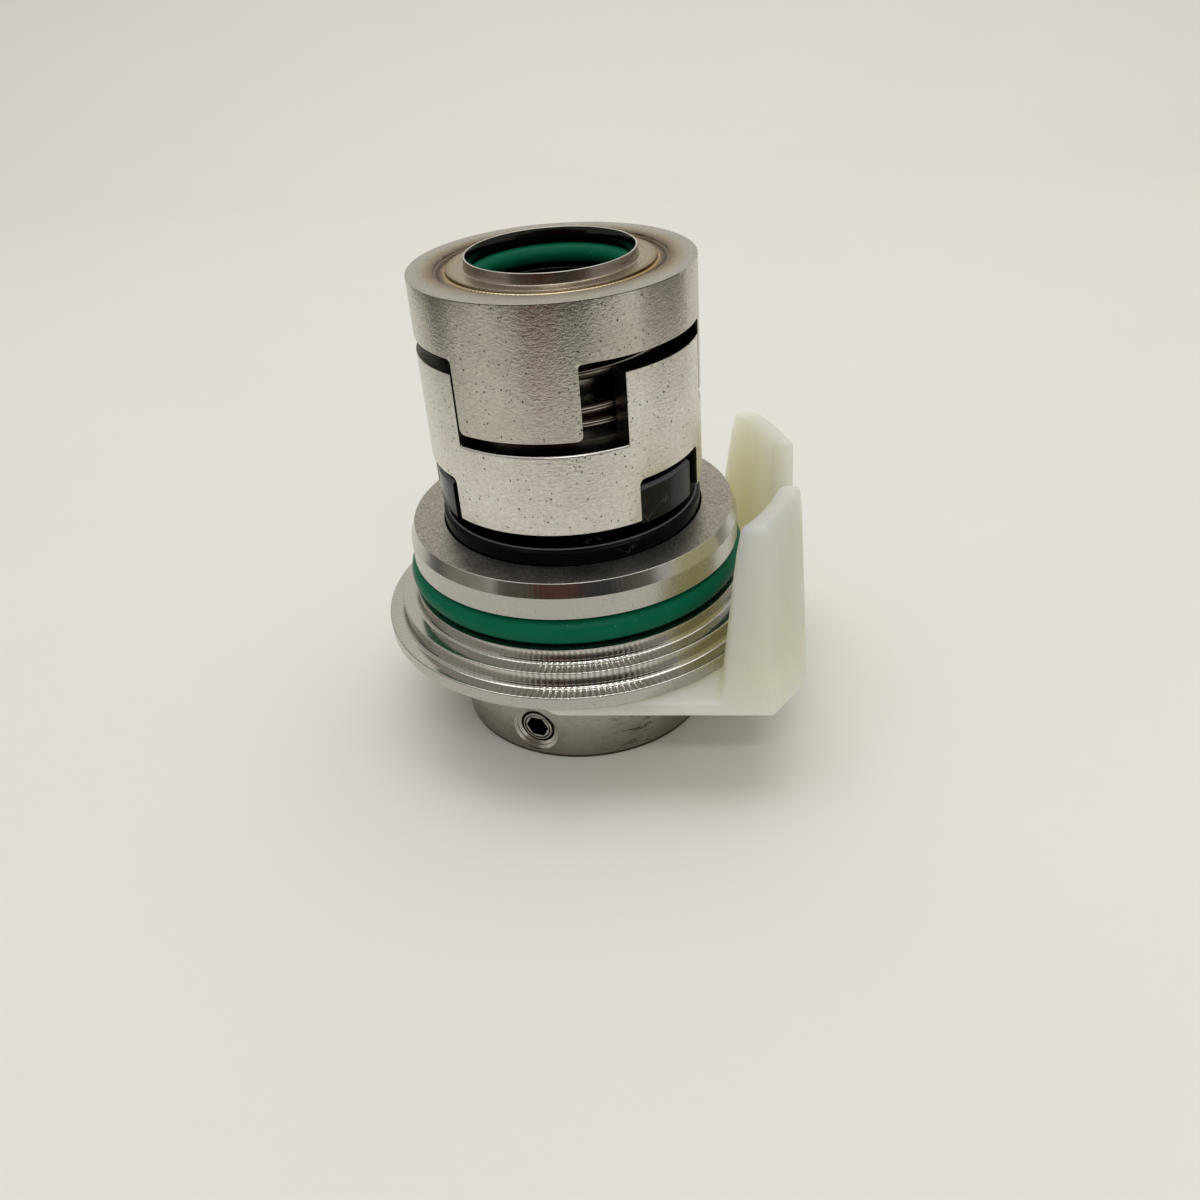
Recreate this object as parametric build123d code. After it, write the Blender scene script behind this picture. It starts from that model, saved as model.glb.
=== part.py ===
"""Cartridge mechanical seal for a 22 mm pump shaft, with its mounting clip in place.

The seal stands on its drive collar. Z is the shaft axis and Z = 0 is the collar's foot.
The clip pulls out along +X. Angles run anticlockwise seen from above, with 0 along +X.
All lengths are in millimetres and all angles in degrees.
"""
import os
from math import ceil, cos, pi, radians, sin, sqrt

from build123d import *

# Shaft sleeve, with a head that holds the shaft's O-ring
shaft_d = 22.0
shaft_clearance = 0.05
sleeve_wall = 1.45
head_wall = 1.5
lip_step = 0.95
lip_wall = 0.5
lip_base_wall = 0.85
lip_height = 1.5
shaft_ring_section = 3.0
shaft_ring_squeeze = 0.25
shaft_ring_side_gap = 0.4
shaft_groove_land = 0.5

# Drive collar and its set screws
collar_wall = 8.65
collar_height = 16.0
collar_edge = 0.4
collar_fit = 0.05
screw_count = 3
screw_start = -108.2
screw_height = 4.9
screw_r = 3.0
screw_thread_gap = 0.06
screw_recess = 0.9
screw_mouth_depth = 1.1
screw_point_r = 2.0
screw_point_gap = 0.25
screw_point_setback = 0.25
screw_socket_af = 3.0
screw_socket_depth = 3.2
screw_edge = 0.45

# Seal cover and its O-ring
flange_rim = 2.6
flange_height = 2.2
step_rim = 2.6
step_height = 2.6
land_r = 27.0
lower_land_height = 2.3
groove_height = 5.1
upper_land_relief = 0.45
upper_land_height = 3.6
cover_chamfer = 0.8
cover_chamfer_height = 2.1
cover_root = 0.5
cover_edge = 0.25
cover_bore_gap = 0.9
cover_floor = 4.6
cover_ring_section = 4.3
cover_ring_proud = 0.35

# Stationary seat, its O-ring and its pins
seat_r = 20.65
seat_gap = 0.15
seat_projection = 2.5
seat_chamfer = 0.7
seat_chamfer_height = 0.5
seat_bore_gap = 1.2
seat_ring_section = 2.8
seat_ring_side_gap = 0.25
pin_count = 2
pin_start = 60.0
pin_d = 3.0
pin_fit = 0.02
pin_depth = 3.0
pin_projection = 2.2
pin_slot_gap = 0.2

# Rotating seal ring and its O-ring
ring_bore_gap = 0.7
ring_carrier_gap = 0.1
ring_height = 11.5
nose_height = 1.9
nose_inset = 0.9
nose_bore_gap = 1.9
ring_lug_start = -52.8
ring_lug_width = 32.4
ring_lug_height = 6.0
ring_lug_recess = 0.45
ring_lug_edge = 0.5
ring_oring_section = 2.6
ring_oring_side_gap = 0.3
ring_oring_bore_gap = 0.08
ring_oring_rim_gap = 0.1

# Face carrier: slots above for the housing's lugs, notches below for the ring's lugs
lug_count = 3
carrier_r = 21.05
carrier_wall = 3.65
carrier_rise = 2.7
carrier_body_height = 12.5
tooth_height = 10.65
web_height = 2.6
web_bore_gap = 0.4
notch_start = -53.6
notch_width = 39.0
notch_height = 6.6
notch_round = 1.0
slot_start = -128.4
slot_width = 71.0
carrier_edge = 0.15

# Thrust washer and coil spring
washer_thick = 1.5
washer_rim_gap = 0.15
spring_wire = 2.0
spring_wall_gap = 0.35
spring_turn_gap = 0.08
spring_closed_turns = 1.4
spring_pitch = 5.4
spring_start = 137.0
spring_points_per_turn = 24

# Spring housing and the weld that joins it to the sleeve
housing_plate = 5.6
lug_start = -127.4
lug_width = 52.0
lug_length = 11.0
lug_round = 0.9
lug_root_round = 0.7
float_travel = 1.85
skirt_height = 2.95
housing_edge = 0.45
weld_width = 1.75
weld_depth = 1.3
weld_crown_drop = 0.55
weld_crown = 0.25

# Mounting clip, laid out from the cover's flange
clip_plate = 2.3
clip_play = 0.1
clip_side_inset = 1.7
clip_rim = 4.4
clip_corner_x = 5.2
clip_corner_y = 8.1
clip_arm_reach = 3.0
clip_arm_round = 2.5
clip_sleeve_gap = 0.3
clip_cover_gap = 0.45
tab_height = 23.7
tab_gap = 15.0
tab_foot_length = 12.8
tab_lean_side = 9.5
tab_lean_foot = 2.5
tab_lean_corner = 0.9
tab_lean_shoulder_x = 2.6
tab_lean_shoulder_y = 9.0
tab_lean_end = 0.5
tab_inner_lean = 0.8

# Radii that follow from the sizes above
bore_r = shaft_d / 2 + shaft_clearance
sleeve_r = bore_r + sleeve_wall
lip_r = bore_r + lip_step
shaft_ring_r = bore_r - shaft_ring_squeeze
shaft_groove_r = shaft_ring_r + shaft_ring_section
head_r = shaft_groove_r + head_wall
collar_bore_r = sleeve_r + collar_fit
collar_r = collar_bore_r + collar_wall
step_r = land_r + step_rim
flange_r = step_r + flange_rim
upper_land_r = land_r - upper_land_relief
cover_ring_r = land_r + cover_ring_proud - cover_ring_section
cover_bore_r = sleeve_r + cover_bore_gap
pocket_r = seat_r + seat_gap
seat_bore_r = sleeve_r + seat_bore_gap
seat_shelf_r = pocket_r - seat_ring_section - seat_gap / 2
cavity_r = carrier_r - carrier_wall
ring_r = cavity_r - ring_carrier_gap
ring_oring_r = sleeve_r + ring_oring_bore_gap
spring_r = cavity_r - spring_wall_gap - spring_wire / 2

# Heights that follow from the sizes above
cover_foot_z = collar_height + clip_plate + clip_play
flange_top_z = cover_foot_z + flange_height
step_top_z = flange_top_z + step_height
groove_foot_z = step_top_z + lower_land_height
groove_top_z = groove_foot_z + groove_height
chamfer_foot_z = groove_top_z + upper_land_height
cover_top_z = chamfer_foot_z + cover_chamfer_height
pocket_floor_z = cover_foot_z + cover_floor
seat_shelf_z = pocket_floor_z + seat_ring_section + 2 * seat_ring_side_gap
face_z = cover_top_z + seat_projection
nose_top_z = face_z + nose_height
ring_top_z = face_z + ring_height
carrier_foot_z = face_z + carrier_rise
slot_foot_z = carrier_foot_z + carrier_body_height
tooth_top_z = slot_foot_z + tooth_height
web_top_z = ring_top_z + web_height
washer_top_z = web_top_z + washer_thick
lug_foot_z = slot_foot_z + float_travel
skirt_foot_z = lug_foot_z + lug_length
plate_foot_z = skirt_foot_z + skirt_height
housing_top_z = plate_foot_z + housing_plate
lip_top_z = housing_top_z + lip_height
shaft_groove_top_z = housing_top_z - shaft_groove_land
weld_foot_z = housing_top_z - weld_depth
weld_shoulder_z = housing_top_z - weld_crown_drop

# How far a cutter reaches past what it cuts, and how close counts as the same height
overcut = 1.0
same_height = 1e-4


def turned(*outline):
    """Solid of revolution about Z from (radius, height) corners."""
    edge = Polyline(*[(r, 0, z) for r, z in outline], close=True)
    return revolve(make_face(edge), Axis.Z, 360)


def o_ring(inner, section, height):
    """O-ring with its middle at a height."""
    return Pos(0, 0, height) * Torus(inner + section / 2, section / 2)


def sector(inner, outer, low, high, start, width):
    """Piece of a tube between two angles."""
    corners = Polyline((inner, 0, low), (outer, 0, low), (outer, 0, high), (inner, 0, high), close=True)
    return Rot(0, 0, start) * revolve(make_face(corners), Axis.Z, width)


def edges_at(shape, height, kind):
    """Edges of one kind that lie at one height."""
    level = shape.edges().filter_by_position(Axis.Z, height - same_height, height + same_height)
    return level.filter_by(kind)


def angles(count, start):
    """Angles spaced evenly about the shaft."""
    return [start + 360.0 / count * index for index in range(count)]


def along_radius(shape, near, far, angle):
    """A shape made along Z, laid along a radius at the set screws' height."""
    laid = Pos((near + far) / 2, 0, screw_height) * Rot(0, 90, 0) * shape
    return Rot(0, 0, angle) * laid


def radial_hole(radius, near, far, angle):
    return along_radius(Cylinder(radius, far - near), near, far, angle)


def shaft_sleeve():
    """Tube on the shaft, with a thick head for the O-ring and a thin lip above it."""
    groove_foot_z = shaft_groove_top_z - shaft_ring_section - 2 * shaft_ring_side_gap
    body = turned(
        (bore_r, 0), (sleeve_r, 0), (sleeve_r, plate_foot_z), (head_r, plate_foot_z),
        (head_r, housing_top_z), (lip_r + lip_base_wall, housing_top_z), (lip_r + lip_wall, lip_top_z),
        (lip_r, lip_top_z), (lip_r, shaft_groove_top_z), (shaft_groove_r, shaft_groove_top_z),
        (shaft_groove_r, groove_foot_z), (bore_r, groove_foot_z))
    for angle in angles(screw_count, screw_start):
        body -= radial_hole(screw_point_r + screw_point_gap, bore_r - overcut, sleeve_r + overcut, angle)
    return body


def shaft_o_ring():
    middle = shaft_groove_top_z - shaft_ring_side_gap - shaft_ring_section / 2
    return o_ring(shaft_ring_r, shaft_ring_section, middle)


def drive_collar():
    """Plain collar with tapped holes, each with a countersunk mouth."""
    body = turned(
        (collar_bore_r, 0), (collar_r - collar_edge, 0), (collar_r, collar_edge),
        (collar_r, collar_height - collar_edge), (collar_r - collar_edge, collar_height),
        (collar_bore_r, collar_height))
    far = collar_r + overcut
    near = collar_r - screw_mouth_depth
    mouth = Cone(screw_r, screw_r + far - near, far - near)
    for angle in angles(screw_count, screw_start):
        body -= radial_hole(screw_r, collar_bore_r - overcut, far, angle)
        body -= along_radius(mouth, near, far, angle)
    return body


def set_screw(angle):
    """Hexagon socket set screw with a dog point that reaches into the sleeve."""
    head = collar_r - screw_recess
    body_r = screw_r - screw_thread_gap
    shoulder = collar_bore_r + screw_edge
    tip = bore_r + screw_point_setback
    outline = Polyline(
        (tip, 0), (tip, screw_point_r - screw_edge), (tip + screw_edge, screw_point_r),
        (shoulder, screw_point_r), (shoulder + screw_edge, body_r), (head - screw_edge, body_r),
        (head, body_r - screw_edge), (head, 0), close=True)
    body = revolve(make_face(outline), Axis.X, 360)
    socket = extrude(RegularPolygon(screw_socket_af / sqrt(3), 6), screw_socket_depth + overcut)
    body -= Pos(head - screw_socket_depth, 0, 0) * Rot(0, 90, 0) * socket
    return Rot(0, 0, angle) * Pos(0, 0, screw_height) * body


def seal_cover():
    """Stepped cover: flange, step, two lands with the O-ring groove between, and the seat's pocket."""
    body = turned(
        (cover_bore_r, cover_foot_z), (flange_r, cover_foot_z), (flange_r, flange_top_z - cover_edge),
        (flange_r - cover_edge, flange_top_z), (step_r + cover_root, flange_top_z),
        (step_r, flange_top_z + cover_root), (step_r, step_top_z), (land_r + cover_root, step_top_z),
        (land_r, step_top_z + cover_root), (land_r, groove_foot_z), (cover_ring_r, groove_foot_z),
        (cover_ring_r, groove_top_z), (upper_land_r, groove_top_z), (upper_land_r, chamfer_foot_z),
        (upper_land_r - cover_chamfer, cover_top_z), (pocket_r, cover_top_z), (pocket_r, pocket_floor_z),
        (cover_bore_r, pocket_floor_z))
    length = pin_depth + overcut
    hole = Cylinder(pin_d / 2 + pin_fit, length)
    for angle in angles(pin_count, pin_start):
        body -= at_pin(hole, angle, pocket_floor_z - pin_depth + length / 2)
    return body


def cover_o_ring():
    return o_ring(cover_ring_r, cover_ring_section, (groove_foot_z + groove_top_z) / 2)


def stationary_seat():
    """Plain-faced ring in the cover's pocket, stepped for its O-ring and slotted for its pins."""
    body = turned(
        (seat_bore_r, pocket_floor_z), (seat_shelf_r, pocket_floor_z), (seat_shelf_r, seat_shelf_z),
        (seat_r, seat_shelf_z), (seat_r, face_z - seat_chamfer_height), (seat_r - seat_chamfer, face_z),
        (seat_bore_r, face_z))
    width = pin_d + 2 * pin_slot_gap
    slot = Box(width, width, 2 * (pin_projection + pin_slot_gap))
    for angle in angles(pin_count, pin_start):
        body -= at_pin(slot, angle, pocket_floor_z)
    return body


def seat_o_ring():
    middle = pocket_floor_z + seat_ring_side_gap + seat_ring_section / 2
    return o_ring(seat_shelf_r + seat_gap / 4, seat_ring_section, middle)


def at_pin(shape, angle, height):
    """A shape moved to the middle of the seat's foot at one pin's angle."""
    middle = (seat_bore_r + seat_shelf_r) / 2
    return Rot(0, 0, angle) * Pos(middle, 0, height) * shape


def seat_pin(angle):
    length = pin_depth + pin_projection
    return at_pin(Cylinder(pin_d / 2, length), angle, pocket_floor_z - pin_depth + length / 2)


def rotating_seal_ring():
    """Ring with a narrow sealing nose below, an O-ring groove above and lugs on its side."""
    groove_r = ring_oring_r + ring_oring_section + ring_oring_rim_gap
    groove_z = ring_top_z - ring_oring_section - 2 * ring_oring_side_gap
    nose_bore_r = sleeve_r + nose_bore_gap
    bore_gap_r = sleeve_r + ring_bore_gap
    body = turned(
        (nose_bore_r, face_z), (ring_r - nose_inset, face_z), (ring_r - nose_inset, nose_top_z),
        (ring_r, nose_top_z), (ring_r, ring_top_z), (groove_r, ring_top_z), (groove_r, groove_z),
        (bore_gap_r, groove_z), (bore_gap_r, nose_top_z), (nose_bore_r, face_z + nose_height / 2))
    lug_top_z = nose_top_z + ring_lug_height
    lug_r = carrier_r - ring_lug_recess
    for angle in angles(lug_count, ring_lug_start):
        lug = sector(ring_r - overcut, lug_r, nose_top_z, lug_top_z, angle, ring_lug_width)
        outer_edge = edges_at(lug, lug_top_z, GeomType.CIRCLE).sort_by(SortBy.LENGTH)[-1]
        body += chamfer(outer_edge, ring_lug_edge)
    return body


def ring_o_ring():
    middle = ring_top_z - ring_oring_side_gap - ring_oring_section / 2
    return o_ring(ring_oring_r, ring_oring_section, middle)


def face_carrier():
    """Castellated carrier with a web inside that the seal ring and the spring push against."""
    web_bore_r = sleeve_r + web_bore_gap
    body = turned(
        (cavity_r, carrier_foot_z), (carrier_r - carrier_edge, carrier_foot_z),
        (carrier_r, carrier_foot_z + carrier_edge), (carrier_r, tooth_top_z - carrier_edge),
        (carrier_r - carrier_edge, tooth_top_z), (cavity_r, tooth_top_z), (cavity_r, web_top_z),
        (web_bore_r, web_top_z), (web_bore_r, ring_top_z), (cavity_r, ring_top_z))
    outer = carrier_r + overcut
    notch_top_z = carrier_foot_z + notch_height
    for angle in angles(lug_count, slot_start):
        body -= sector(cavity_r, outer, slot_foot_z, tooth_top_z + overcut, angle, slot_width)
    for angle in angles(lug_count, notch_start):
        notch = sector(cavity_r - overcut, outer, carrier_foot_z - overcut, notch_top_z, angle, notch_width)
        body -= fillet(edges_at(notch, notch_top_z, GeomType.LINE), notch_round)
    return body


def thrust_washer():
    inner = sleeve_r + web_bore_gap
    outer = cavity_r - washer_rim_gap
    return turned((inner, web_top_z), (outer, web_top_z), (outer, washer_top_z), (inner, washer_top_z))


def coil_spring():
    """Spring with closed turns at each end and open turns between."""
    closed_pitch = spring_wire + spring_turn_gap
    foot_z = washer_top_z + spring_wire / 2
    rise = plate_foot_z - washer_top_z - spring_wire
    open_turns = (rise - 2 * spring_closed_turns * closed_pitch) / spring_pitch
    turns = open_turns + 2 * spring_closed_turns
    count = ceil(turns * spring_points_per_turn)
    points = []
    for index in range(count + 1):
        done = turns * index / count
        opened = min(max(done - spring_closed_turns, 0), open_turns)
        height = foot_z + closed_pitch * (done - opened) + spring_pitch * opened
        angle = radians(spring_start) + 2 * pi * done
        points.append((spring_r * cos(angle), spring_r * sin(angle), height))
    path = Spline(*points)
    start = Plane(origin=path @ 0, z_dir=path % 0)
    return sweep(start * Circle(spring_wire / 2), path=path)


def spring_housing():
    """Cup welded to the sleeve's head, with drive lugs below its skirt."""
    weld_r = head_r + weld_width
    body = turned(
        (head_r, plate_foot_z), (cavity_r, plate_foot_z), (cavity_r, lug_foot_z), (carrier_r, lug_foot_z),
        (carrier_r, housing_top_z - housing_edge), (carrier_r - housing_edge, housing_top_z),
        (weld_r, housing_top_z), (weld_r, weld_foot_z), (head_r, weld_foot_z))
    gap_width = 360.0 / lug_count - lug_width
    inner = cavity_r - overcut
    outer = carrier_r + overcut
    for angle in angles(lug_count, lug_start + lug_width):
        gap = sector(inner, outer, lug_foot_z - overcut, skirt_foot_z, angle, gap_width)
        body -= fillet(edges_at(gap, skirt_foot_z, GeomType.LINE), lug_root_round)
    return fillet(edges_at(body, lug_foot_z, GeomType.LINE), lug_round)


def weld_seam():
    """Weld bead in the groove between the sleeve's head and the housing."""
    outer = head_r + weld_width
    sides = Polyline(
        (head_r, 0, weld_shoulder_z), (head_r, 0, weld_foot_z), (outer, 0, weld_foot_z),
        (outer, 0, weld_shoulder_z))
    crown = ThreePointArc(
        (outer, 0, weld_shoulder_z), (head_r + weld_width / 2, 0, weld_shoulder_z + weld_crown),
        (head_r, 0, weld_shoulder_z))
    return revolve(make_face(sides + crown), Axis.Z, 360)


def clip_tab(half_width, corner_x, reach, corner_y):
    """Finger tab on the +Y side: flat leaning faces outside, hollow inside round the flange."""
    foot_z = collar_height + clip_plate
    top_z = foot_z + tab_height
    gap = tab_gap / 2
    deep = flange_r / 2
    foot_x = reach - tab_foot_length
    top_y = half_width - tab_lean_side
    shoulder = (reach - tab_lean_shoulder_x, corner_y - tab_lean_shoulder_y)
    foot = [(foot_x, half_width), (corner_x, half_width), (reach, corner_y), (reach, gap), (deep, gap)]
    top = [(foot_x + tab_lean_foot, top_y), (corner_x - tab_lean_corner, top_y), shoulder,
           (reach - tab_lean_end, gap), (deep, gap)]
    faces = []
    for corners, height in ((foot, foot_z), (top, top_z)):
        faces.append(make_face(Polyline(*[(x, y, height) for x, y in corners], close=True)))
    hollow_r = flange_r + clip_cover_gap
    hollow = Cone(hollow_r, hollow_r + tab_inner_lean, tab_height)
    return loft(faces, ruled=True) - Pos(0, 0, foot_z + tab_height / 2) * hollow


def mounting_clip():
    """Fork that keeps the cover off the collar until the seal is fitted, with two finger tabs."""
    half_width = flange_r - clip_side_inset
    reach = flange_r + clip_rim
    corner_x = reach - clip_corner_x
    corner_y = half_width - clip_corner_y
    outline = Polyline(
        (-clip_arm_reach, -half_width), (corner_x, -half_width), (reach, -corner_y), (reach, corner_y),
        (corner_x, half_width), (-clip_arm_reach, half_width), close=True)
    plate = extrude(make_face(outline), clip_plate)
    arm_ends = plate.edges().filter_by(Axis.Z).group_by(Axis.X)[0]
    plate = fillet(arm_ends, clip_arm_round)
    slot_r = sleeve_r + clip_sleeve_gap
    plate -= Cylinder(slot_r, 3 * clip_plate)
    plate -= Pos(-clip_arm_reach, 0, 0) * Box(2 * clip_arm_reach, 2 * slot_r, 3 * clip_plate)
    tab = clip_tab(half_width, corner_x, reach, corner_y)
    return Pos(0, 0, collar_height) * plate + tab + mirror(tab, Plane.XZ)


def all_parts():
    """Every sub-part by name."""
    parts = {
        "shaft_sleeve": shaft_sleeve(),
        "shaft_o_ring": shaft_o_ring(),
        "weld_seam": weld_seam(),
        "spring_housing": spring_housing(),
        "coil_spring": coil_spring(),
        "thrust_washer": thrust_washer(),
        "face_carrier": face_carrier(),
        "rotating_seal_ring": rotating_seal_ring(),
        "ring_o_ring": ring_o_ring(),
        "stationary_seat": stationary_seat(),
        "seat_o_ring": seat_o_ring(),
        "seal_cover": seal_cover(),
        "cover_o_ring": cover_o_ring(),
        "mounting_clip": mounting_clip(),
        "drive_collar": drive_collar(),
    }
    for index, angle in enumerate(angles(screw_count, screw_start), start=1):
        parts[f"set_screw_{index}"] = set_screw(angle)
    for index, angle in enumerate(angles(pin_count, pin_start), start=1):
        parts[f"seat_pin_{index}"] = seat_pin(angle)
    return parts


os.makedirs("parts", exist_ok=True)
for name, part in all_parts().items():
    export_step(part, f"parts/{name}.step")
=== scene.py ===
"""Looks of a cartridge mechanical seal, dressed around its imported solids.

The shaft axis is Z, and the seal stands on its drive collar at Z = 0. Outlines are in
millimetres and degrees, and drawing turns them into metres. Angles run anticlockwise
seen from above, with 0 along +X, the way the mounting clip pulls out.
"""

from math import atan2, cos, degrees, pi, radians, sin, sqrt, tan

import bmesh
import bpy
from bpy.props import FloatProperty, FloatVectorProperty, PointerProperty, StringProperty
from mathutils import Matrix, Vector


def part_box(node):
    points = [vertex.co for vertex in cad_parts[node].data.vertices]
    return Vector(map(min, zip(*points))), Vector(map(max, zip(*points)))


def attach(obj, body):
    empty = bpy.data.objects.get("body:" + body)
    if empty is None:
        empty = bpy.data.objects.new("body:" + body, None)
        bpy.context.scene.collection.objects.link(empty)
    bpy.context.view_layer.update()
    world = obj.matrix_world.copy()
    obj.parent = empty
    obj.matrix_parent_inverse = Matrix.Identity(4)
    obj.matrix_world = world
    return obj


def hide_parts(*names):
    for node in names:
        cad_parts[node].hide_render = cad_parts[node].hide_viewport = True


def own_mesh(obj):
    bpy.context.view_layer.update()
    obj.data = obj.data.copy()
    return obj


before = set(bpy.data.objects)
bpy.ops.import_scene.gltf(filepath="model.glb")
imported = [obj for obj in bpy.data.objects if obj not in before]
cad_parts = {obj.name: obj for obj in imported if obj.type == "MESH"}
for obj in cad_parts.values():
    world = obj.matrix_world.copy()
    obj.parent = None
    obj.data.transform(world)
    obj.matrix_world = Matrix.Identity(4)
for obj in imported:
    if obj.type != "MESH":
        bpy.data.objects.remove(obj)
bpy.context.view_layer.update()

bl_info = {
    "name": "Cartridge seal",
    "version": (1, 0, 0),
    "blender": (4, 5, 0),
    "location": "View3D > Sidebar > Seal",
    "description": "Models a cartridge mechanical seal around its frame, with its finishes and its stage",
    "category": "Object",
}

MM = 0.001
MERGE = 1e-6
NEAR = 0.02 * MM
TURN_STEPS = 240
ARC_STEPS = 4
SCREW_ANGLES = (-108.2, 11.8, 131.8)
SCREW_HEIGHT = 4.9
SCREW_R = 3.0
PIN_ANGLES = (60.0, 240.0)
LUG_ANGLES = (0.0, 120.0, 240.0)
LUG_LENGTH = 11.0
SKIRT_HEIGHT = 2.95
WALL = 3.65
COLLAR_BORE_R = 12.55


# ---------------------------------------------------------------- sizes read from the frame

def reach(node):
    """Outer radius of a round node about the shaft, in millimetres."""
    low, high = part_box(node)
    return min(-low.x, high.x, -low.y, high.y) / MM


def foot(node):
    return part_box(node)[0].z / MM


def top(node):
    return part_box(node)[1].z / MM


def head_foot():
    """Height of the inside of the housing's head, where the spring ends."""
    return foot("spring_housing") + LUG_LENGTH + SKIRT_HEIGHT


# ---------------------------------------------------------------- drawing and modelling

def at(radius, angle, height):
    """A point in metres from its radius and height in millimetres and its angle in degrees."""
    turn = radians(angle)
    return Vector((radius * cos(turn), radius * sin(turn), height)) * MM


def rounded(corners, steps=ARC_STEPS):
    """Outline points from corners of two numbers, or of three where the third is a rounding."""
    points = []
    for index, corner in enumerate(corners):
        here = Vector(corner[:2])
        if len(corner) == 2:
            points.append(here)
            continue
        before = (Vector(corners[index - 1][:2]) - here).normalized()
        after = (Vector(corners[(index + 1) % len(corners)][:2]) - here).normalized()
        half = before.angle(after) / 2
        centre = here + (before + after).normalized() * corner[2] / sin(half)
        first = (here + before * corner[2] / tan(half) - centre).normalized()
        last = (here + after * corner[2] / tan(half) - centre).normalized()
        points += [centre + first.slerp(last, step / steps) * corner[2] for step in range(steps + 1)]
    return points


def choose(*pieces):
    """Selects these pieces alone and makes the first of them active."""
    bpy.ops.object.select_all(action="DESELECT")
    for piece in pieces:
        piece.select_set(True)
    bpy.context.view_layer.objects.active = pieces[0]


def edit(piece):
    choose(piece)
    bpy.ops.object.mode_set(mode="EDIT")


def leave():
    bpy.ops.object.mode_set(mode="OBJECT")


def pick(piece, kind, wanted):
    """Selects the faces or the edges, in edit mode, that a test accepts."""
    bpy.ops.mesh.select_mode(type={"faces": "FACE", "edges": "EDGE"}[kind])
    bpy.ops.mesh.select_all(action="DESELECT")
    mesh = bmesh.from_edit_mesh(piece.data)
    for item in getattr(mesh, kind):
        item.select_set(wanted(item))
    mesh.select_flush_mode()
    bmesh.update_edit_mesh(piece.data)


def draw(name, points):
    """A closed line, drawn by extruding one vertex from point to point. It stays in edit mode."""
    bpy.ops.object.select_all(action="DESELECT")
    bpy.ops.mesh.primitive_plane_add(size=MM)
    piece = bpy.context.object
    piece.name = name
    bpy.ops.object.mode_set(mode="EDIT")
    bpy.ops.mesh.select_mode(type="VERT")
    bpy.ops.mesh.select_all(action="SELECT")
    bpy.ops.mesh.merge(type="CENTER")
    bpy.ops.transform.translate(value=points[0])
    for here, there in zip(points, points[1:] + points[:1]):
        bpy.ops.mesh.extrude_vertices_move(TRANSFORM_OT_translate={"value": there - here})
    bpy.ops.mesh.select_all(action="SELECT")
    bpy.ops.mesh.remove_doubles(threshold=MERGE)
    return piece


def tidy_normals():
    """Merges doubles and points every face outwards, then leaves edit mode."""
    bpy.ops.mesh.select_all(action="SELECT")
    bpy.ops.mesh.remove_doubles(threshold=MERGE)
    bpy.ops.mesh.normals_make_consistent(inside=False)
    leave()


def turned(name, corners, spans=((360.0, TURN_STEPS),), start=0.0):
    """Spins an outline of (radius, height) corners about the shaft, span by span of (degrees, steps)."""
    piece = draw(name, [at(radius, start, height) for radius, height in rounded(corners)])
    bpy.ops.mesh.select_all(action="SELECT")
    for span, steps in spans:
        bpy.ops.mesh.spin(steps=steps, angle=-radians(span), center=(0, 0, 0), axis=(0, 0, 1))
    tidy_normals()
    return piece


def bearing(point):
    return degrees(atan2(point.y, point.x))


def between(point, start, width, slack=0.05):
    """Whether a point lies in a range of angles, with a little slack at its ends."""
    return (bearing(point) - start + slack) % 360.0 <= width + 2 * slack


def is_level(edge):
    return abs(edge.verts[0].co.z - edge.verts[1].co.z) < NEAR


def is_radial(edge):
    return is_level(edge) and abs(edge.verts[0].co.xy.length - edge.verts[1].co.xy.length) > MM


def is_rim(edge, radius, height):
    """Whether an edge lies at this radius and this height, in millimetres."""
    return all(abs(vertex.co.z - height * MM) < NEAR and abs(vertex.co.xy.length - radius * MM) < NEAR
               for vertex in edge.verts)


def outward(centre, normal):
    """How far a face looks away from the shaft: 1 for straight out, -1 for straight in."""
    return normal.dot(centre.xy.normalized().to_3d())


def open_gap(piece, start, width, low, high):
    """Takes a gap out of a turned wall between two heights and closes its sides and its end."""
    edit(piece)
    pick(piece, "faces", lambda face: between(face.calc_center_median(), start, width, -0.05)
         and low * MM - NEAR < face.calc_center_median().z < high * MM + NEAR)
    bpy.ops.mesh.delete(type="FACE")
    pick(piece, "edges", lambda edge: edge.is_boundary and not is_radial(edge)
         and all(between(vertex.co, start, width) for vertex in edge.verts))
    bpy.ops.mesh.bridge_edge_loops()
    tidy_normals()


def round_corners(piece, angles, height, radius):
    """Rounds the corners of a wall's lugs or gaps at one height, seen along the radius."""
    edit(piece)
    pick(piece, "edges", lambda edge: is_radial(edge) and abs(edge.verts[0].co.z - height * MM) < NEAR
         and any(between(edge.verts[0].co, angle, 0.0) for angle in angles)
         and edge.calc_face_angle(0.0) > 1.0)
    bpy.ops.mesh.bevel(offset=radius * MM, segments=6, affect="EDGES", clamp_overlap=False)
    leave()


def apply_all(piece):
    """Applies every modifier of a piece, in order."""
    choose(piece)
    for modifier in list(piece.modifiers):
        bpy.ops.object.modifier_apply(modifier=modifier.name)


def join(piece, other):
    choose(piece, other)
    bpy.ops.object.join()


def cut(piece, tool):
    """Cuts a tool's shape out of a piece and removes the tool."""
    modifier = piece.modifiers.new("Cut", "BOOLEAN")
    modifier.operation = "DIFFERENCE"
    modifier.solver = "EXACT"
    modifier.object = tool
    apply_all(piece)
    bpy.data.objects.remove(tool)


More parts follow.
